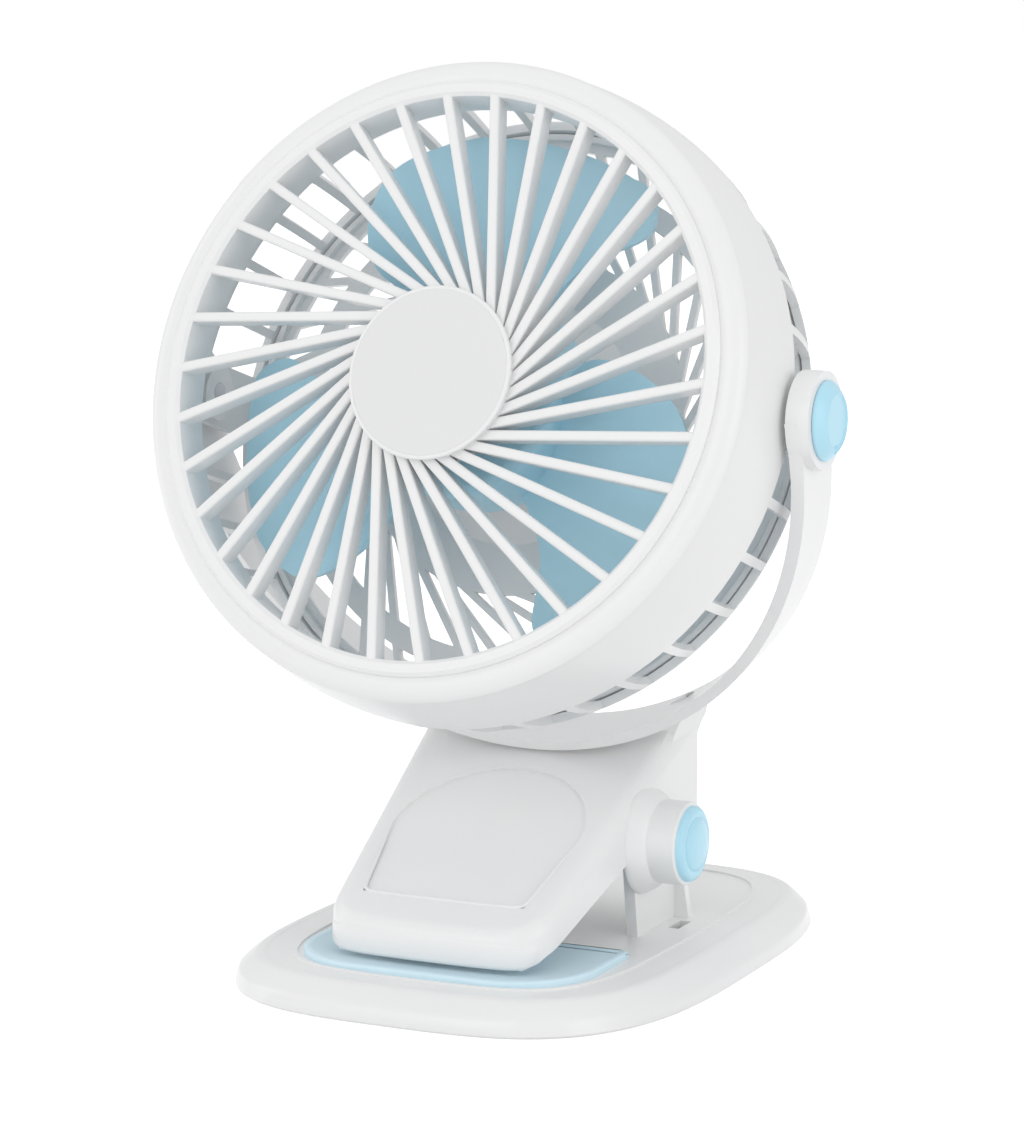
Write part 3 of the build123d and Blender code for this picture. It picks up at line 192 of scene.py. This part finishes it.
def shell_copy(name, material):
    """A merged copy of the solid of that name, as the start of a moulding."""
    clear_selection()
    piece = bpy.data.objects.new(name + "_moulding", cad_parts[name].data.copy())
    bpy.context.scene.collection.objects.link(piece)
    piece.data.materials.clear()
    piece.data.materials.append(material)
    bpy.context.view_layer.objects.active = piece
    piece.select_set(True)
    bpy.ops.object.mode_set(mode="EDIT")
    bpy.ops.mesh.select_all(action="SELECT")
    bpy.ops.mesh.remove_doubles(threshold=0.000002)
    bpy.ops.object.mode_set(mode="OBJECT")
    return piece


def rounded(piece, edge):
    """Rounds a moulding's hard edges to a radius in millimetres and evens its shading."""
    bpy.ops.object.modifier_add(type="BEVEL")
    bevel = piece.modifiers[-1]
    bevel.limit_method = "ANGLE"
    bevel.angle_limit = radians(32.0)
    bevel.width = edge / 1000
    bevel.segments = 2
    bevel.use_clamp_overlap = True
    bpy.ops.object.modifier_apply(modifier=bevel.name)
    bpy.ops.object.shade_smooth_by_angle(angle=radians(52.0))
    bpy.ops.object.modifier_add(type="WEIGHTED_NORMAL")
    even = piece.modifiers[-1]
    even.keep_sharp = True
    even.weight = 70
    bpy.ops.object.modifier_apply(modifier=even.name)


def softened(name, body, material, edge):
    """The solid of that name as a moulding with rounded edges, riding on its body."""
    piece = shell_copy(name, material)
    rounded(piece, edge)
    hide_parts(name)
    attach(piece, body)
    return piece


# Polished white ABS: a clean, barely wavy skin with a soft broad shine.
white_abs = moulded_abs("white_abs_polished", "#f1f1f1", 0.31, 0.02)
base = softened("base_shell", "base", white_abs, 0.3)
# Its outer band is drawn in a little, so that only the skin below shows there.
# How far out a point lies is measured on the plate's rounded plan.
plan_half_width = 0.0546
plan_half_depth = 0.0747
plan_power = 3.5
band_start = 0.868
for vertex in base.data.vertices:
    across = (abs(vertex.co.x) / plan_half_width) ** plan_power
    along = (abs(vertex.co.y) / plan_half_depth) ** plan_power
    if (across + along) ** (1 / plan_power) > band_start and vertex.co.z > 0.0001:
        vertex.co.x *= 0.987
        vertex.co.y *= 0.990


def ring_stack(name, material, steps, count):
    """An open tube of rings a millimetre apart, whose points are then set ring by ring."""
    clear_selection()
    bpy.ops.mesh.primitive_circle_add(vertices=steps, radius=0.05, fill_type="NOTHING", location=(0, 0, 0))
    piece = new_piece(name, material)
    bpy.ops.object.mode_set(mode="EDIT")
    bpy.ops.mesh.select_mode(type="EDGE")
    bpy.ops.mesh.select_all(action="SELECT")
    for ring in range(1, count):
        bpy.ops.mesh.extrude_region_move(TRANSFORM_OT_translate={"value": (0, 0, 0.001)})
    bpy.ops.object.mode_set(mode="OBJECT")
    return piece


# The shell's outer skin: a clean band round the side and the wide bevel. Each
# ring has a height and an inset in millimetres, and how square its plan is.
skin_half_width = 54.8
skin_half_depth = 74.95
skin_rings = [
    (0.02, 0.9, 3.25), (0.1, 0.5, 3.25), (0.35, 0.15, 3.25), (0.7, 0.0, 3.25), (3.2, 0.62, 3.25),
    (3.6, 0.84, 3.27), (3.95, 1.18, 3.3), (4.3, 1.65, 3.34), (6.65, 5.4, 3.79), (6.95, 5.95, 3.83),
    (7.13, 6.6, 3.85), (7.2, 7.4, 3.85), (7.19, 8.0, 3.85), (7.05, 8.4, 3.85),
]
base_skin = ring_stack("base_outer_skin", white_abs, 144, len(skin_rings))
for vertex in base_skin.data.vertices:
    height, inset, power = skin_rings[round(vertex.co.z / 0.001)]
    turn = atan2(vertex.co.y, vertex.co.x)
    across = abs(cos(turn)) ** (2 / power) * (skin_half_width - inset) / 1000
    along = abs(sin(turn)) ** (2 / power) * (skin_half_depth - inset) / 1000
    vertex.co = (across if cos(turn) > 0 else -across, along if sin(turn) > 0 else -along, height / 1000)
bpy.ops.object.mode_set(mode="EDIT")
bpy.ops.mesh.select_all(action="SELECT")
bpy.ops.mesh.normals_make_consistent(inside=False)
bpy.ops.object.mode_set(mode="OBJECT")
bpy.ops.object.modifier_add(type="SOLIDIFY")
base_skin.modifiers[-1].thickness = 0.0003
base_skin.modifiers[-1].offset = -1.0
bpy.ops.object.modifier_apply(modifier=base_skin.modifiers[-1].name)
bpy.ops.object.shade_smooth_by_angle(angle=radians(40.0))
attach(base_skin, "base")

# ---------------------------------------------------------------- bottom cover
# Flat ABS plate that closes the shell from below, let in flush and held by
# four screws. Satin ABS: an unpolished mould leaves it duller and finely pitted.
satin_abs = moulded_abs("white_abs_satin", "#ececec", 0.45, 0.05, 0.8)
softened("base_cover", "base", satin_abs, 0.2)


# ---------------------------------------------------------------- feet
# Four discs die-cut from rubber sheet and glued into the cover's recesses.
# Each has a shallow ring pressed into its underside.
def pick(piece, kind, test):
    """Selects, in edit mode, the vertices, edges or faces that pass a test."""
    bpy.ops.object.mode_set(mode="EDIT")
    bpy.ops.mesh.select_all(action="DESELECT")
    bpy.ops.mesh.select_mode(type=kind)
    bpy.ops.object.mode_set(mode="OBJECT")
    for part in {"VERT": piece.data.vertices, "EDGE": piece.data.edges, "FACE": piece.data.polygons}[kind]:
        part.select = test(part)
    bpy.ops.object.mode_set(mode="EDIT")


def twin_of(piece, place):
    """A copy of a piece with its own mesh, moved by a matrix."""
    twin = bpy.data.objects.new(piece.name, piece.data.copy())
    bpy.context.scene.collection.objects.link(twin)
    twin.data.transform(place)
    return twin


def joined(pieces):
    """One object out of several."""
    clear_selection()
    for piece in pieces:
        piece.select_set(True)
    bpy.context.view_layer.objects.active = pieces[0]
    bpy.ops.object.join()
    return bpy.context.object


# Rubber: a mid grey, dull and slightly open-pored.
rubber = moulded_abs("die_cut_rubber", "#a9abad", 0.82, 0.12, 0.6)
foot_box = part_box("base_feet")
foot_height = foot_box[1][2] - foot_box[0][2]
foot_radius = 0.005
clear_selection()
bpy.ops.mesh.primitive_cylinder_add(vertices=64, radius=foot_radius, depth=foot_height,
                                    location=(0, 0, foot_height / 2))
foot = new_piece("rubber_foot", rubber)
pick(foot, "FACE", lambda face: face.normal.z < -0.9)
bpy.ops.mesh.inset(thickness=0.0003)
bpy.ops.mesh.inset(thickness=0.0014)
bpy.ops.mesh.inset(thickness=0.0004, depth=-0.0002)
bpy.ops.mesh.inset(thickness=0.0004, depth=0.0002)
bpy.ops.object.mode_set(mode="OBJECT")
feet = [twin_of(foot, Matrix.Translation((x, y, 0)))
        for x in (foot_box[0][0] + foot_radius, foot_box[1][0] - foot_radius)
        for y in (foot_box[0][1] + foot_radius, foot_box[1][1] - foot_radius)]
bpy.data.objects.remove(foot)
rubber_feet = joined(feet)
bpy.ops.object.shade_smooth_by_angle(angle=radians(30.0))
rubber_feet.name = "rubber_feet"
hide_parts("base_feet")
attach(rubber_feet, "base")

# ---------------------------------------------------------------- cover screws
# Small pan-head self-tapping screws with a cross recess, headed from steel
# wire and zinc plated. They are driven up through the bottom cover.
# Zinc plate: a cool grey, bright metal with a fine crystalline satin, whose
# crystals are drawn coarser than the real ones so that they show.
steel = blank_material("zinc_plated_steel")
tree = steel.node_tree
place = add_node(tree, "ShaderNodeTexCoord")
crystals = add_node(tree, "ShaderNodeTexNoise", {"Scale": 1000 / 0.5, "Detail": 2.0}, {"Vector": (place, "Object")})
plating = add_node(tree, "ShaderNodeMapRange",
                   {"From Min": 0.3, "From Max": 0.7, "To Min": 0.29, "To Max": 0.42}, {"Value": (crystals, "Fac")})
skin = add_node(tree, "ShaderNodeBsdfPrincipled", {"Base Color": srgb("#b7bbc0"), "Metallic": 1.0},
                {"Roughness": (plating, 0)})
add_node(tree, "ShaderNodeOutputMaterial", links={"Surface": (skin, 0)})


def combine(piece, tool, operation):
    """A boolean of two objects, which uses up the second."""
    clear_selection()
    piece.select_set(True)
    bpy.context.view_layer.objects.active = piece
    bpy.ops.object.modifier_add(type="BOOLEAN")
    step = piece.modifiers[-1]
    step.object = tool
    step.operation = operation
    bpy.ops.object.modifier_apply(modifier=step.name)
    bpy.data.objects.remove(tool)


def cross_screws(name, node, body, spots, outward, head_radius, shank_length):
    """Pan-head screws whose heads face outward at the given spots."""
    head_height = 0.0008
    shank_radius = 0.0011
    clear_selection()
    bpy.ops.mesh.primitive_cylinder_add(vertices=40, radius=head_radius, depth=head_height,
                                        location=(0, 0, -head_height / 2))
    screw = new_piece(name, steel)
    pick(screw, "FACE", lambda face: face.normal.z > 0.9)
    bpy.ops.mesh.bevel(offset=0.0003, segments=3, affect="EDGES")
    pick(screw, "FACE", lambda face: face.normal.z < -0.9)
    bpy.ops.mesh.inset(thickness=head_radius - shank_radius)
    bpy.ops.mesh.extrude_region_move(TRANSFORM_OT_translate={"value": (0, 0, head_height - shank_length)})
    bpy.ops.object.mode_set(mode="OBJECT")
    for turn in (0, 90):
        clear_selection()
        bpy.ops.mesh.primitive_cube_add(size=1.0, location=(0, 0, 0), rotation=(0, 0, radians(turn)))
        bpy.context.object.scale = (head_radius * 1.1, 0.00042, 0.001)
        combine(screw, new_piece("driver_blade", steel), "DIFFERENCE")
    bpy.ops.object.shade_smooth_by_angle(angle=radians(30.0))
    faced = Vector(outward).to_track_quat("Z", "Y").to_matrix().to_4x4()
    screws = []
    for spot in spots:
        driven = Matrix.Rotation(0.5 + 40 * spot[0] + 9 * spot[1], 4, "Z")
        screws.append(twin_of(screw, Matrix.Translation(spot) @ faced @ driven))
    bpy.data.objects.remove(screw)
    screws = joined(screws)
    screws.name = name
    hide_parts(node)
    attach(screws, body)


cross_screws("cover_screws", "base_screws", "base",
             [(x, y, 0.0006) for x in (-0.038, 0.038) for y in (-0.05, 0.05)], (0, 0, -1), 0.0026, 0.0038)

# ---------------------------------------------------------------- base pad
# Light blue silicone pad, moulded with a rim a little proud of its middle and
# glued on where the jaw closes.
# Silicone: a soft, dull shine with slight clouding and a fine dust-like grain,
# which is drawn coarser than the real one so that it shows.
silicone = blank_material("light_blue_silicone")
tree = silicone.node_tree
place = add_node(tree, "ShaderNodeTexCoord")
grain = add_node(tree, "ShaderNodeTexNoise", {"Scale": 1000 / 0.7, "Detail": 3.0}, {"Vector": (place, "Object")})
cloud = add_node(tree, "ShaderNodeTexNoise", {"Scale": 1000 / 25.0, "Detail": 1.0}, {"Vector": (place, "Object")})
tint = add_node(tree, "ShaderNodeMixRGB", {"Color1": srgb("#dcf3fc"), "Color2": srgb("#d3eefa")},
                {"Fac": (cloud, "Fac")})
bump = add_node(tree, "ShaderNodeBump", {"Strength": 0.4, "Distance": 0.00005}, {"Height": (grain, "Fac")})
skin = add_node(tree, "ShaderNodeBsdfPrincipled", {"Roughness": 0.5, "IOR": 1.41},
                {"Base Color": (tint, 0), "Normal": (bump, 0)})
add_node(tree, "ShaderNodeOutputMaterial", links={"Surface": (skin, 0)})

(pad_left, pad_front, pad_low), (pad_right, pad_back, pad_high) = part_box("base_pad")
pad_width = pad_right - pad_left
clear_selection()
bpy.ops.mesh.primitive_plane_add(size=1.0, location=(0, (pad_front + pad_back) / 2, pad_low))
bpy.context.object.scale = (pad_width, pad_back - pad_front, 1)
base_pad = new_piece("silicone_base_pad", silicone)
for end, corner, steps in ((pad_front, 0.0195, 20), (pad_back, 0.0015, 5)):
    pick(base_pad, "VERT", lambda vertex: abs(vertex.co.y - end) < 0.0001
         and abs(abs(vertex.co.x) - pad_width / 2) < 0.0001)
    bpy.ops.mesh.bevel(offset=corner, segments=steps, affect="VERTICES")
    bpy.ops.object.mode_set(mode="OBJECT")
bpy.ops.object.mode_set(mode="EDIT")
bpy.ops.mesh.select_all(action="SELECT")
bpy.ops.mesh.extrude_region_move(TRANSFORM_OT_translate={"value": (0, 0, pad_high - pad_low)})
bpy.ops.mesh.select_all(action="SELECT")
bpy.ops.mesh.normals_make_consistent(inside=False)
pick(base_pad, "FACE", lambda face: face.normal.z > 0.9)
bpy.ops.mesh.bevel(offset=0.0006, segments=4, affect="EDGES")
pick(base_pad, "FACE", lambda face: face.normal.z > 0.999)
bpy.ops.mesh.inset(thickness=0.0012)
bpy.ops.mesh.inset(thickness=0.0004, depth=-0.00025)
bpy.ops.object.mode_set(mode="OBJECT")
bpy.ops.object.shade_smooth_by_angle(angle=radians(35.0))
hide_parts("base_pad")
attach(base_pad, "base")

# ---------------------------------------------------------------- clip spring and hinge pin
# Torsion spring coiled from hard-drawn wire, on a turned and plated steel pin
# between the posts. One leg presses on the base, the other in the neck.
# Spring wire: left oiled, so darker than the plated pin, with faint draw marks
# that are drawn coarser than the real ones.
wire = blank_material("hard_drawn_spring_wire")
tree = wire.node_tree
place = add_node(tree, "ShaderNodeTexCoord")
draw = add_node(tree, "ShaderNodeTexNoise", {"Scale": 1000 / 0.8, "Detail": 3.0}, {"Vector": (place, "Object")})
sheen = add_node(tree, "ShaderNodeMapRange",
                 {"From Min": 0.3, "From Max": 0.7, "To Min": 0.29, "To Max": 0.4}, {"Value": (draw, "Fac")})
skin = add_node(tree, "ShaderNodeBsdfPrincipled", {"Base Color": srgb("#8f9296"), "Metallic": 1.0},
                {"Roughness": (sheen, 0)})
add_node(tree, "ShaderNodeOutputMaterial", links={"Surface": (skin, 0)})

# On the real clip its coils wind up along the pin as the arm opens; this copy is smooth-shaded and left in place,
# carried by neither body.
spring = shell_copy("torsion_spring", wire)
bpy.ops.object.shade_smooth_by_angle(angle=radians(50.0))
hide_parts("torsion_spring")
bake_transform(spring)
softened("hinge_pin", "base", steel, 0.3)

# ---------------------------------------------------------------- arm: jaw, neck and yoke
# One large moulding of white ABS on the hinge pin: the jaw in front, the neck
# above and the yoke that carries the head. The jaw has a shallow arched panel.
arm = shell_copy("arm_frame", white_abs)

# The neck's sides flare out into the yoke, one right-handed and one left-handed.
# Each level has its height, the block's reach outward there and how far its tip
# is lifted, in millimetres.
flare_levels = [(37.5, 0.1, 0), (41.5, 0.3, 0), (45.0, 0.7, 0), (48.0, 1.3, 0), (50.7, 2.1, 0), (53.0, 3.0, 0),
                (55.1, 4.0, 0), (57.0, 6.2, 4.6)]
flare_root = 0.029
flare_front = 0.0095
flare_taper = 0.0018
yoke_lean = 0.52
for side in (1, -1):
    clear_selection()
    bpy.ops.mesh.primitive_cube_add(size=1.0, location=(side * 0.0297, 0.0141, 0.045))
    bpy.context.object.scale = (0.0026, 0.0101, 0.024)
    flare = new_piece("neck_flare", white_abs)
    bpy.ops.object.mode_set(mode="EDIT")
    for height, reach, lift in flare_levels[:-1]:
        bpy.ops.mesh.select_all(action="SELECT")
        bpy.ops.mesh.bisect(plane_co=(0, 0, height / 1000), plane_no=(0, 0, 1))
    for height, reach, lift in flare_levels:
        pick(flare, "VERT", lambda vertex: abs(vertex.co.z - height / 1000) < 0.00005
             and side * vertex.co.x > flare_root)
        bpy.ops.transform.translate(value=(side * reach / 1000, -yoke_lean * lift / 1000, lift / 1000))
    pick(flare, "VERT", lambda vertex: vertex.co.y < flare_front and side * vertex.co.x > flare_root)
    bpy.ops.transform.translate(value=(-side * flare_taper, 0, 0))
    combine(arm, flare, "UNION")

# The jaw's lower edges are rounded more than the rest.
normals_beside = {}
for face in arm.data.polygons:
    for key in face.edge_keys:
        normals_beside.setdefault(key, []).append(face.normal.copy())


def on_lower_edge(edge):
    """True for a hard edge along the bottom of the jaw's lip and sides."""
    first, last = (arm.data.vertices[index].co for index in edge.vertices)
    middle = (first + last) / 2
    low = middle.z < 0.0128 + max(0.0, middle.y + 0.048) * 0.42
    normals = normals_beside[edge.key]
    crisp = len(normals) == 2 and normals[0].angle(normals[1]) > radians(30)
    return low and crisp and middle.y < -0.030 and (middle.y < -0.047 or abs(middle.x) > 0.0235)


pick(arm, "EDGE", on_lower_edge)
bpy.ops.mesh.bevel(offset=0.0016, segments=4, affect="EDGES", clamp_overlap=True)
bpy.ops.object.mode_set(mode="OBJECT")
rounded(arm, 0.4)
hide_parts("arm_frame")
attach(arm, "arm")


def close_ends():
    """Caps the open ends of the piece in hand and turns its faces outward."""
    bpy.ops.object.mode_set(mode="EDIT")
    bpy.ops.mesh.select_mode(type="EDGE")
    bpy.ops.mesh.select_all(action="DESELECT")
    bpy.ops.mesh.select_non_manifold()
    bpy.ops.mesh.edge_face_add()
    bpy.ops.mesh.select_all(action="SELECT")
    bpy.ops.mesh.normals_make_consistent(inside=False)
    bpy.ops.object.mode_set(mode="OBJECT")


# The lip's front wall stands nearly upright on a rounded plan and turns under in
# a soft edge. Each level has its height, its inset from the plan, in
# millimetres, and how far it follows the jaw's rising underside.
lip_right_half = [(0.0, -55.35), (6.0, -55.3), (12.0, -55.15), (16.0, -54.9), (19.0, -54.45), (21.2, -53.85),
                  (22.8, -53.05), (24.0, -52.1), (24.95, -51.05), (25.5, -50.0), (25.7, -48.6)]
lip_plan = [(-x, y) for x, y in reversed(lip_right_half[1:])] + lip_right_half
lip_half_width, lip_back = lip_plan[-1]
lip_levels = [(9.3, 1.5, 1.0), (9.36, 1.0, 1.0), (9.6, 0.5, 0.9), (10.0, 0.18, 0.7), (10.6, 0.0, 0.5),
              (14.4, 0.0, 0.0), (15.1, 0.14, 0.0), (15.7, 0.6, 0.0), (16.1, 1.4, 0.0)]
underside_start = -52.6
underside_rise = 0.605
lip = ring_stack("lip_front", white_abs, len(lip_plan), len(lip_levels))
rings = {}
for vertex in lip.data.vertices:
    rings.setdefault(round(vertex.co.z / 0.001), []).append(vertex)
for level, ring in rings.items():
    height, inset, lean = lip_levels[level]
    for spot, vertex in zip(lip_plan, sorted(ring, key=lambda vertex: atan2(vertex.co.y, vertex.co.x))):
        x = spot[0] * (1 - inset / lip_half_width)
        y = min(spot[1] + inset, lip_back)
        rise = max(0.0, y - underside_start) * underside_rise * lean
        vertex.co = (x / 1000, y / 1000, (height + rise) / 1000)
close_ends()
bpy.ops.object.shade_smooth_by_angle(angle=radians(40.0))
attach(lip, "arm")


def lathe_along_x(name, material, centre, rings, steps=72):
    """A turned piece about an x axis through centre: rings are (distance out, radius) in millimetres, ends closed."""
    clear_selection()
    out, radius = rings[0]
    bpy.ops.mesh.primitive_circle_add(vertices=steps, radius=radius / 1000, fill_type="NOTHING",
                                      location=(out / 1000, centre[0], centre[1]), rotation=(0, radians(90), 0))
    piece = new_piece(name, material)
    bpy.ops.object.mode_set(mode="EDIT")
    bpy.ops.mesh.select_mode(type="EDGE")
    bpy.ops.mesh.select_all(action="SELECT")
    for next_out, next_radius in rings[1:]:
        bpy.ops.mesh.extrude_region_move(TRANSFORM_OT_translate={"value": ((next_out - out) / 1000, 0, 0)})
        bpy.ops.transform.resize(value=(1, next_radius / radius, next_radius / radius),
                                 center_override=(next_out / 1000, centre[0], centre[1]))
        out, radius = next_out, next_radius
    close_ends()
    bpy.ops.object.shade_smooth_by_angle(angle=radians(38.0))
    return piece


# Round shoulder of the right ear, which swells out of the jaw's side.
hinge_line = (-0.0027, 0.0291)
shoulder = lathe_along_x("ear_shoulder", white_abs, hinge_line,
                         [(29.4, 12.4), (29.9, 12.35), (30.4, 12.1), (31.1, 11.7), (31.9, 11.2), (32.6, 10.75),
                          (33.2, 10.3), (33.6, 9.95), (33.8, 9.6)])
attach(shoulder, "arm")

# Fine bead along the lower half of the jaw's panel; it fades out up the sides.
# Each spot is across and up the panel in millimetres, with the bead's fullness.
panel_front_y, panel_front_z = -0.0516, 0.0189
panel_slope = atan2(26.7, 50.6)
bead_right_half = [(0.0, 5.7, 1.0), (12.0, 5.7, 1.0), (18.6, 5.9, 1.0), (19.8, 7.2, 1.0), (20.3, 10.0, 1.0),
                   (21.1, 15.5, 1.0), (22.0, 22.0, 0.7), (22.9, 28.0, 0.1)]
bead_spots = [(-across, up, thick) for across, up, thick in reversed(bead_right_half[1:])] + bead_right_half
clear_selection()
bpy.ops.curve.primitive_nurbs_path_add(radius=0.01, location=(0, 0, 0))
bead = bpy.context.object
bead.data.splines.clear()
line = bead.data.splines.new("NURBS")
line.points.add(len(bead_spots) - 1)
for point, (across, up, thick) in zip(line.points, bead_spots):
    point.co = (across / 1000, panel_front_y + up / 1000 * cos(panel_slope),
                panel_front_z + up / 1000 * sin(panel_slope), 1.0)
    point.radius = thick
line.order_u = 3
line.use_endpoint_u = True
bead.data.bevel_depth = 0.00042
bead.data.bevel_resolution = 3
bead.data.use_fill_caps = True
bpy.ops.object.convert(target="MESH")
bead = new_piece("panel_bead", white_abs)
bpy.ops.object.shade_smooth()
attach(bead, "arm")

# ---------------------------------------------------------------- jaw underside
# Satin ABS cover screwed over the cell's bay, and the blue silicone pad that
# grips, glued under the lip. The cell is a flat pouch.
softened("jaw_cover", "arm", satin_abs, 0.2)
softened("jaw_pad", "arm", silicone, 0.3)
under_slope = radians(21.31)
cross_screws("jaw_cover_screws", "jaw_screws", "arm",
             [(x, -0.01763, 0.02425) for x in (-0.0175, 0.0175)], (0, sin(under_slope), -cos(under_slope)),
             0.0022, 0.006)


def dress(name, material):
    """Gives a solid that keeps its own shape its finish."""
    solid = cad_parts[name]
    solid.data.materials.clear()
    solid.data.materials.append(material)


# Aluminium laminate: a pale silver foil with a blurred shine.
foil = blank_material("aluminium_laminate_foil")
tree = foil.node_tree
skin = add_node(tree, "ShaderNodeBsdfPrincipled", {"Base Color": srgb("#c9cbcd"), "Metallic": 1.0, "Roughness": 0.4})
add_node(tree, "ShaderNodeOutputMaterial", links={"Surface": (skin, 0)})
dress("battery_cell", foil)

# ---------------------------------------------------------------- neck's rear cover
# Small satin ABS plate held by two screws over the control board. The steel
# charging socket looks out through it, and the power button is let into it.
softened("neck_cover", "arm", satin_abs, 0.25)
cross_screws("neck_cover_screws", "neck_screws", "arm",
             [(x, 0.0188, 0.0395) for x in (-0.0236, 0.0236)], (0, 1, 0), 0.0022, 0.006)
# Polished light blue ABS: the same smooth skin as the white, in a milky sky blue.
blue_abs = moulded_abs("light_blue_abs_polished", "#b6e6f8", 0.31, 0.02)
softened("power_button", "button", blue_abs, 0.2)
# Solder resist: a glossy dark green lacquer.
resist = moulded_abs("green_solder_resist", "#1f6b45", 0.35, 0.02)
dress("control_board", resist)
dress("usb_socket", steel)

# ---------------------------------------------------------------- clip knob
# White ABS ring pushed over the right end of the pin, closed by a snapped-in
# light blue cap with two fine moulded steps and a low dome.
softened("hinge_ring", "arm", white_abs, 0.3)
knob_cap = lathe_along_x("knob_cap", blue_abs, hinge_line,
                         [(39.1, 8.2), (39.12, 8.6), (40.7, 8.6), (41.2, 8.5), (41.6, 8.25), (41.9, 7.8),
                          (42.05, 7.2), (42.12, 6.6), (42.02, 6.4), (42.02, 6.15), (42.3, 5.9), (42.55, 5.4),
                          (42.75, 4.7), (42.95, 3.6), (43.07, 2.4), (43.13, 1.0)], 96)
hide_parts("hinge_cap")
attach(knob_cap, "arm")

# ---------------------------------------------------------------- head shell
# Side ring with its row of vents, closed by the front grille's skewed spokes
# and by the rear grille, whose pod holds the motor. All are white ABS mouldings.
softened("drum_shell", "head", white_abs, 0.3)
softened("rear_grille", "head", white_abs, 0.25)
softened("front_grille", "head", white_abs, 0.2)
# Satin grey ABS: the hub's disc is a shade darker and duller than the spokes.
grey_abs = moulded_abs("pale_grey_abs_satin", "#e7e7e7", 0.42, 0.03)
softened("hub_cap", "head", grey_abs, 0.2)

# A slim polished ring closes the joint between the hub's disc and the grille.
head_tilt = radians(18.3)
head_axis = Vector((0, -cos(head_tilt), sin(head_tilt)))
head_pivot = Vector((0, -0.0231, 0.1282))
disc_lead = 0.0303
clear_selection()
bpy.ops.mesh.primitive_torus_add(major_segments=96, minor_segments=12, major_radius=0.0186, minor_radius=0.00055,
                                 location=head_pivot + head_axis * disc_lead,
                                 rotation=head_axis.to_track_quat("Z", "Y").to_euler())
hub_ring = new_piece("hub_ring", white_abs)
bpy.ops.object.shade_smooth()
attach(hub_ring, "head")
softened("rear_cap", "head", white_abs, 0.3)

# ---------------------------------------------------------------- motor
# Drawn and plated steel can with a ground shaft in a sintered bronze bush,
# screwed into the rear grille's pod.
for name in ("motor_can", "motor_screws", "motor_shaft"):
    dress(name, steel)
# Sintered bronze: a dull, oil-soaked yellow brown.
bronze = blank_material("sintered_bronze")
tree = bronze.node_tree
skin = add_node(tree, "ShaderNodeBsdfPrincipled", {"Base Color": srgb("#b08a55"), "Metallic": 1.0, "Roughness": 0.5})
add_node(tree, "ShaderNodeOutputMaterial", links={"Surface": (skin, 0)})
dress("motor_bush", bronze)

# ---------------------------------------------------------------- rotor
# Three-bladed impeller, moulded in one shot and pressed on the motor's shaft.
# Its light blue ABS is a little duller than the caps', and painted paler: painted light that brightens the blades in
# the shade inside the drum.
rotor_blue = moulded_abs("light_blue_abs_painted_paler", "#c2edfd", 0.33, 0.02)
softened("rotor", "rotor_body", rotor_blue, 0.4)

# ---------------------------------------------------------------- pivots
# Turned steel pins through the yoke's bosses into the head, with a nylon
# washer between and a snapped-in light blue cap over each.
# Nylon: an unpainted, slightly yellow white with a waxy look.
nylon = moulded_abs("natural_nylon", "#e9e7df", 0.5, 0.02)
for side in ("left", "right"):
    softened("pivot_pin_" + side, "head", steel, 0.2)
    dress("pivot_washer_" + side, nylon)
    softened("pivot_cap_" + side, "arm", blue_abs, 0.25)
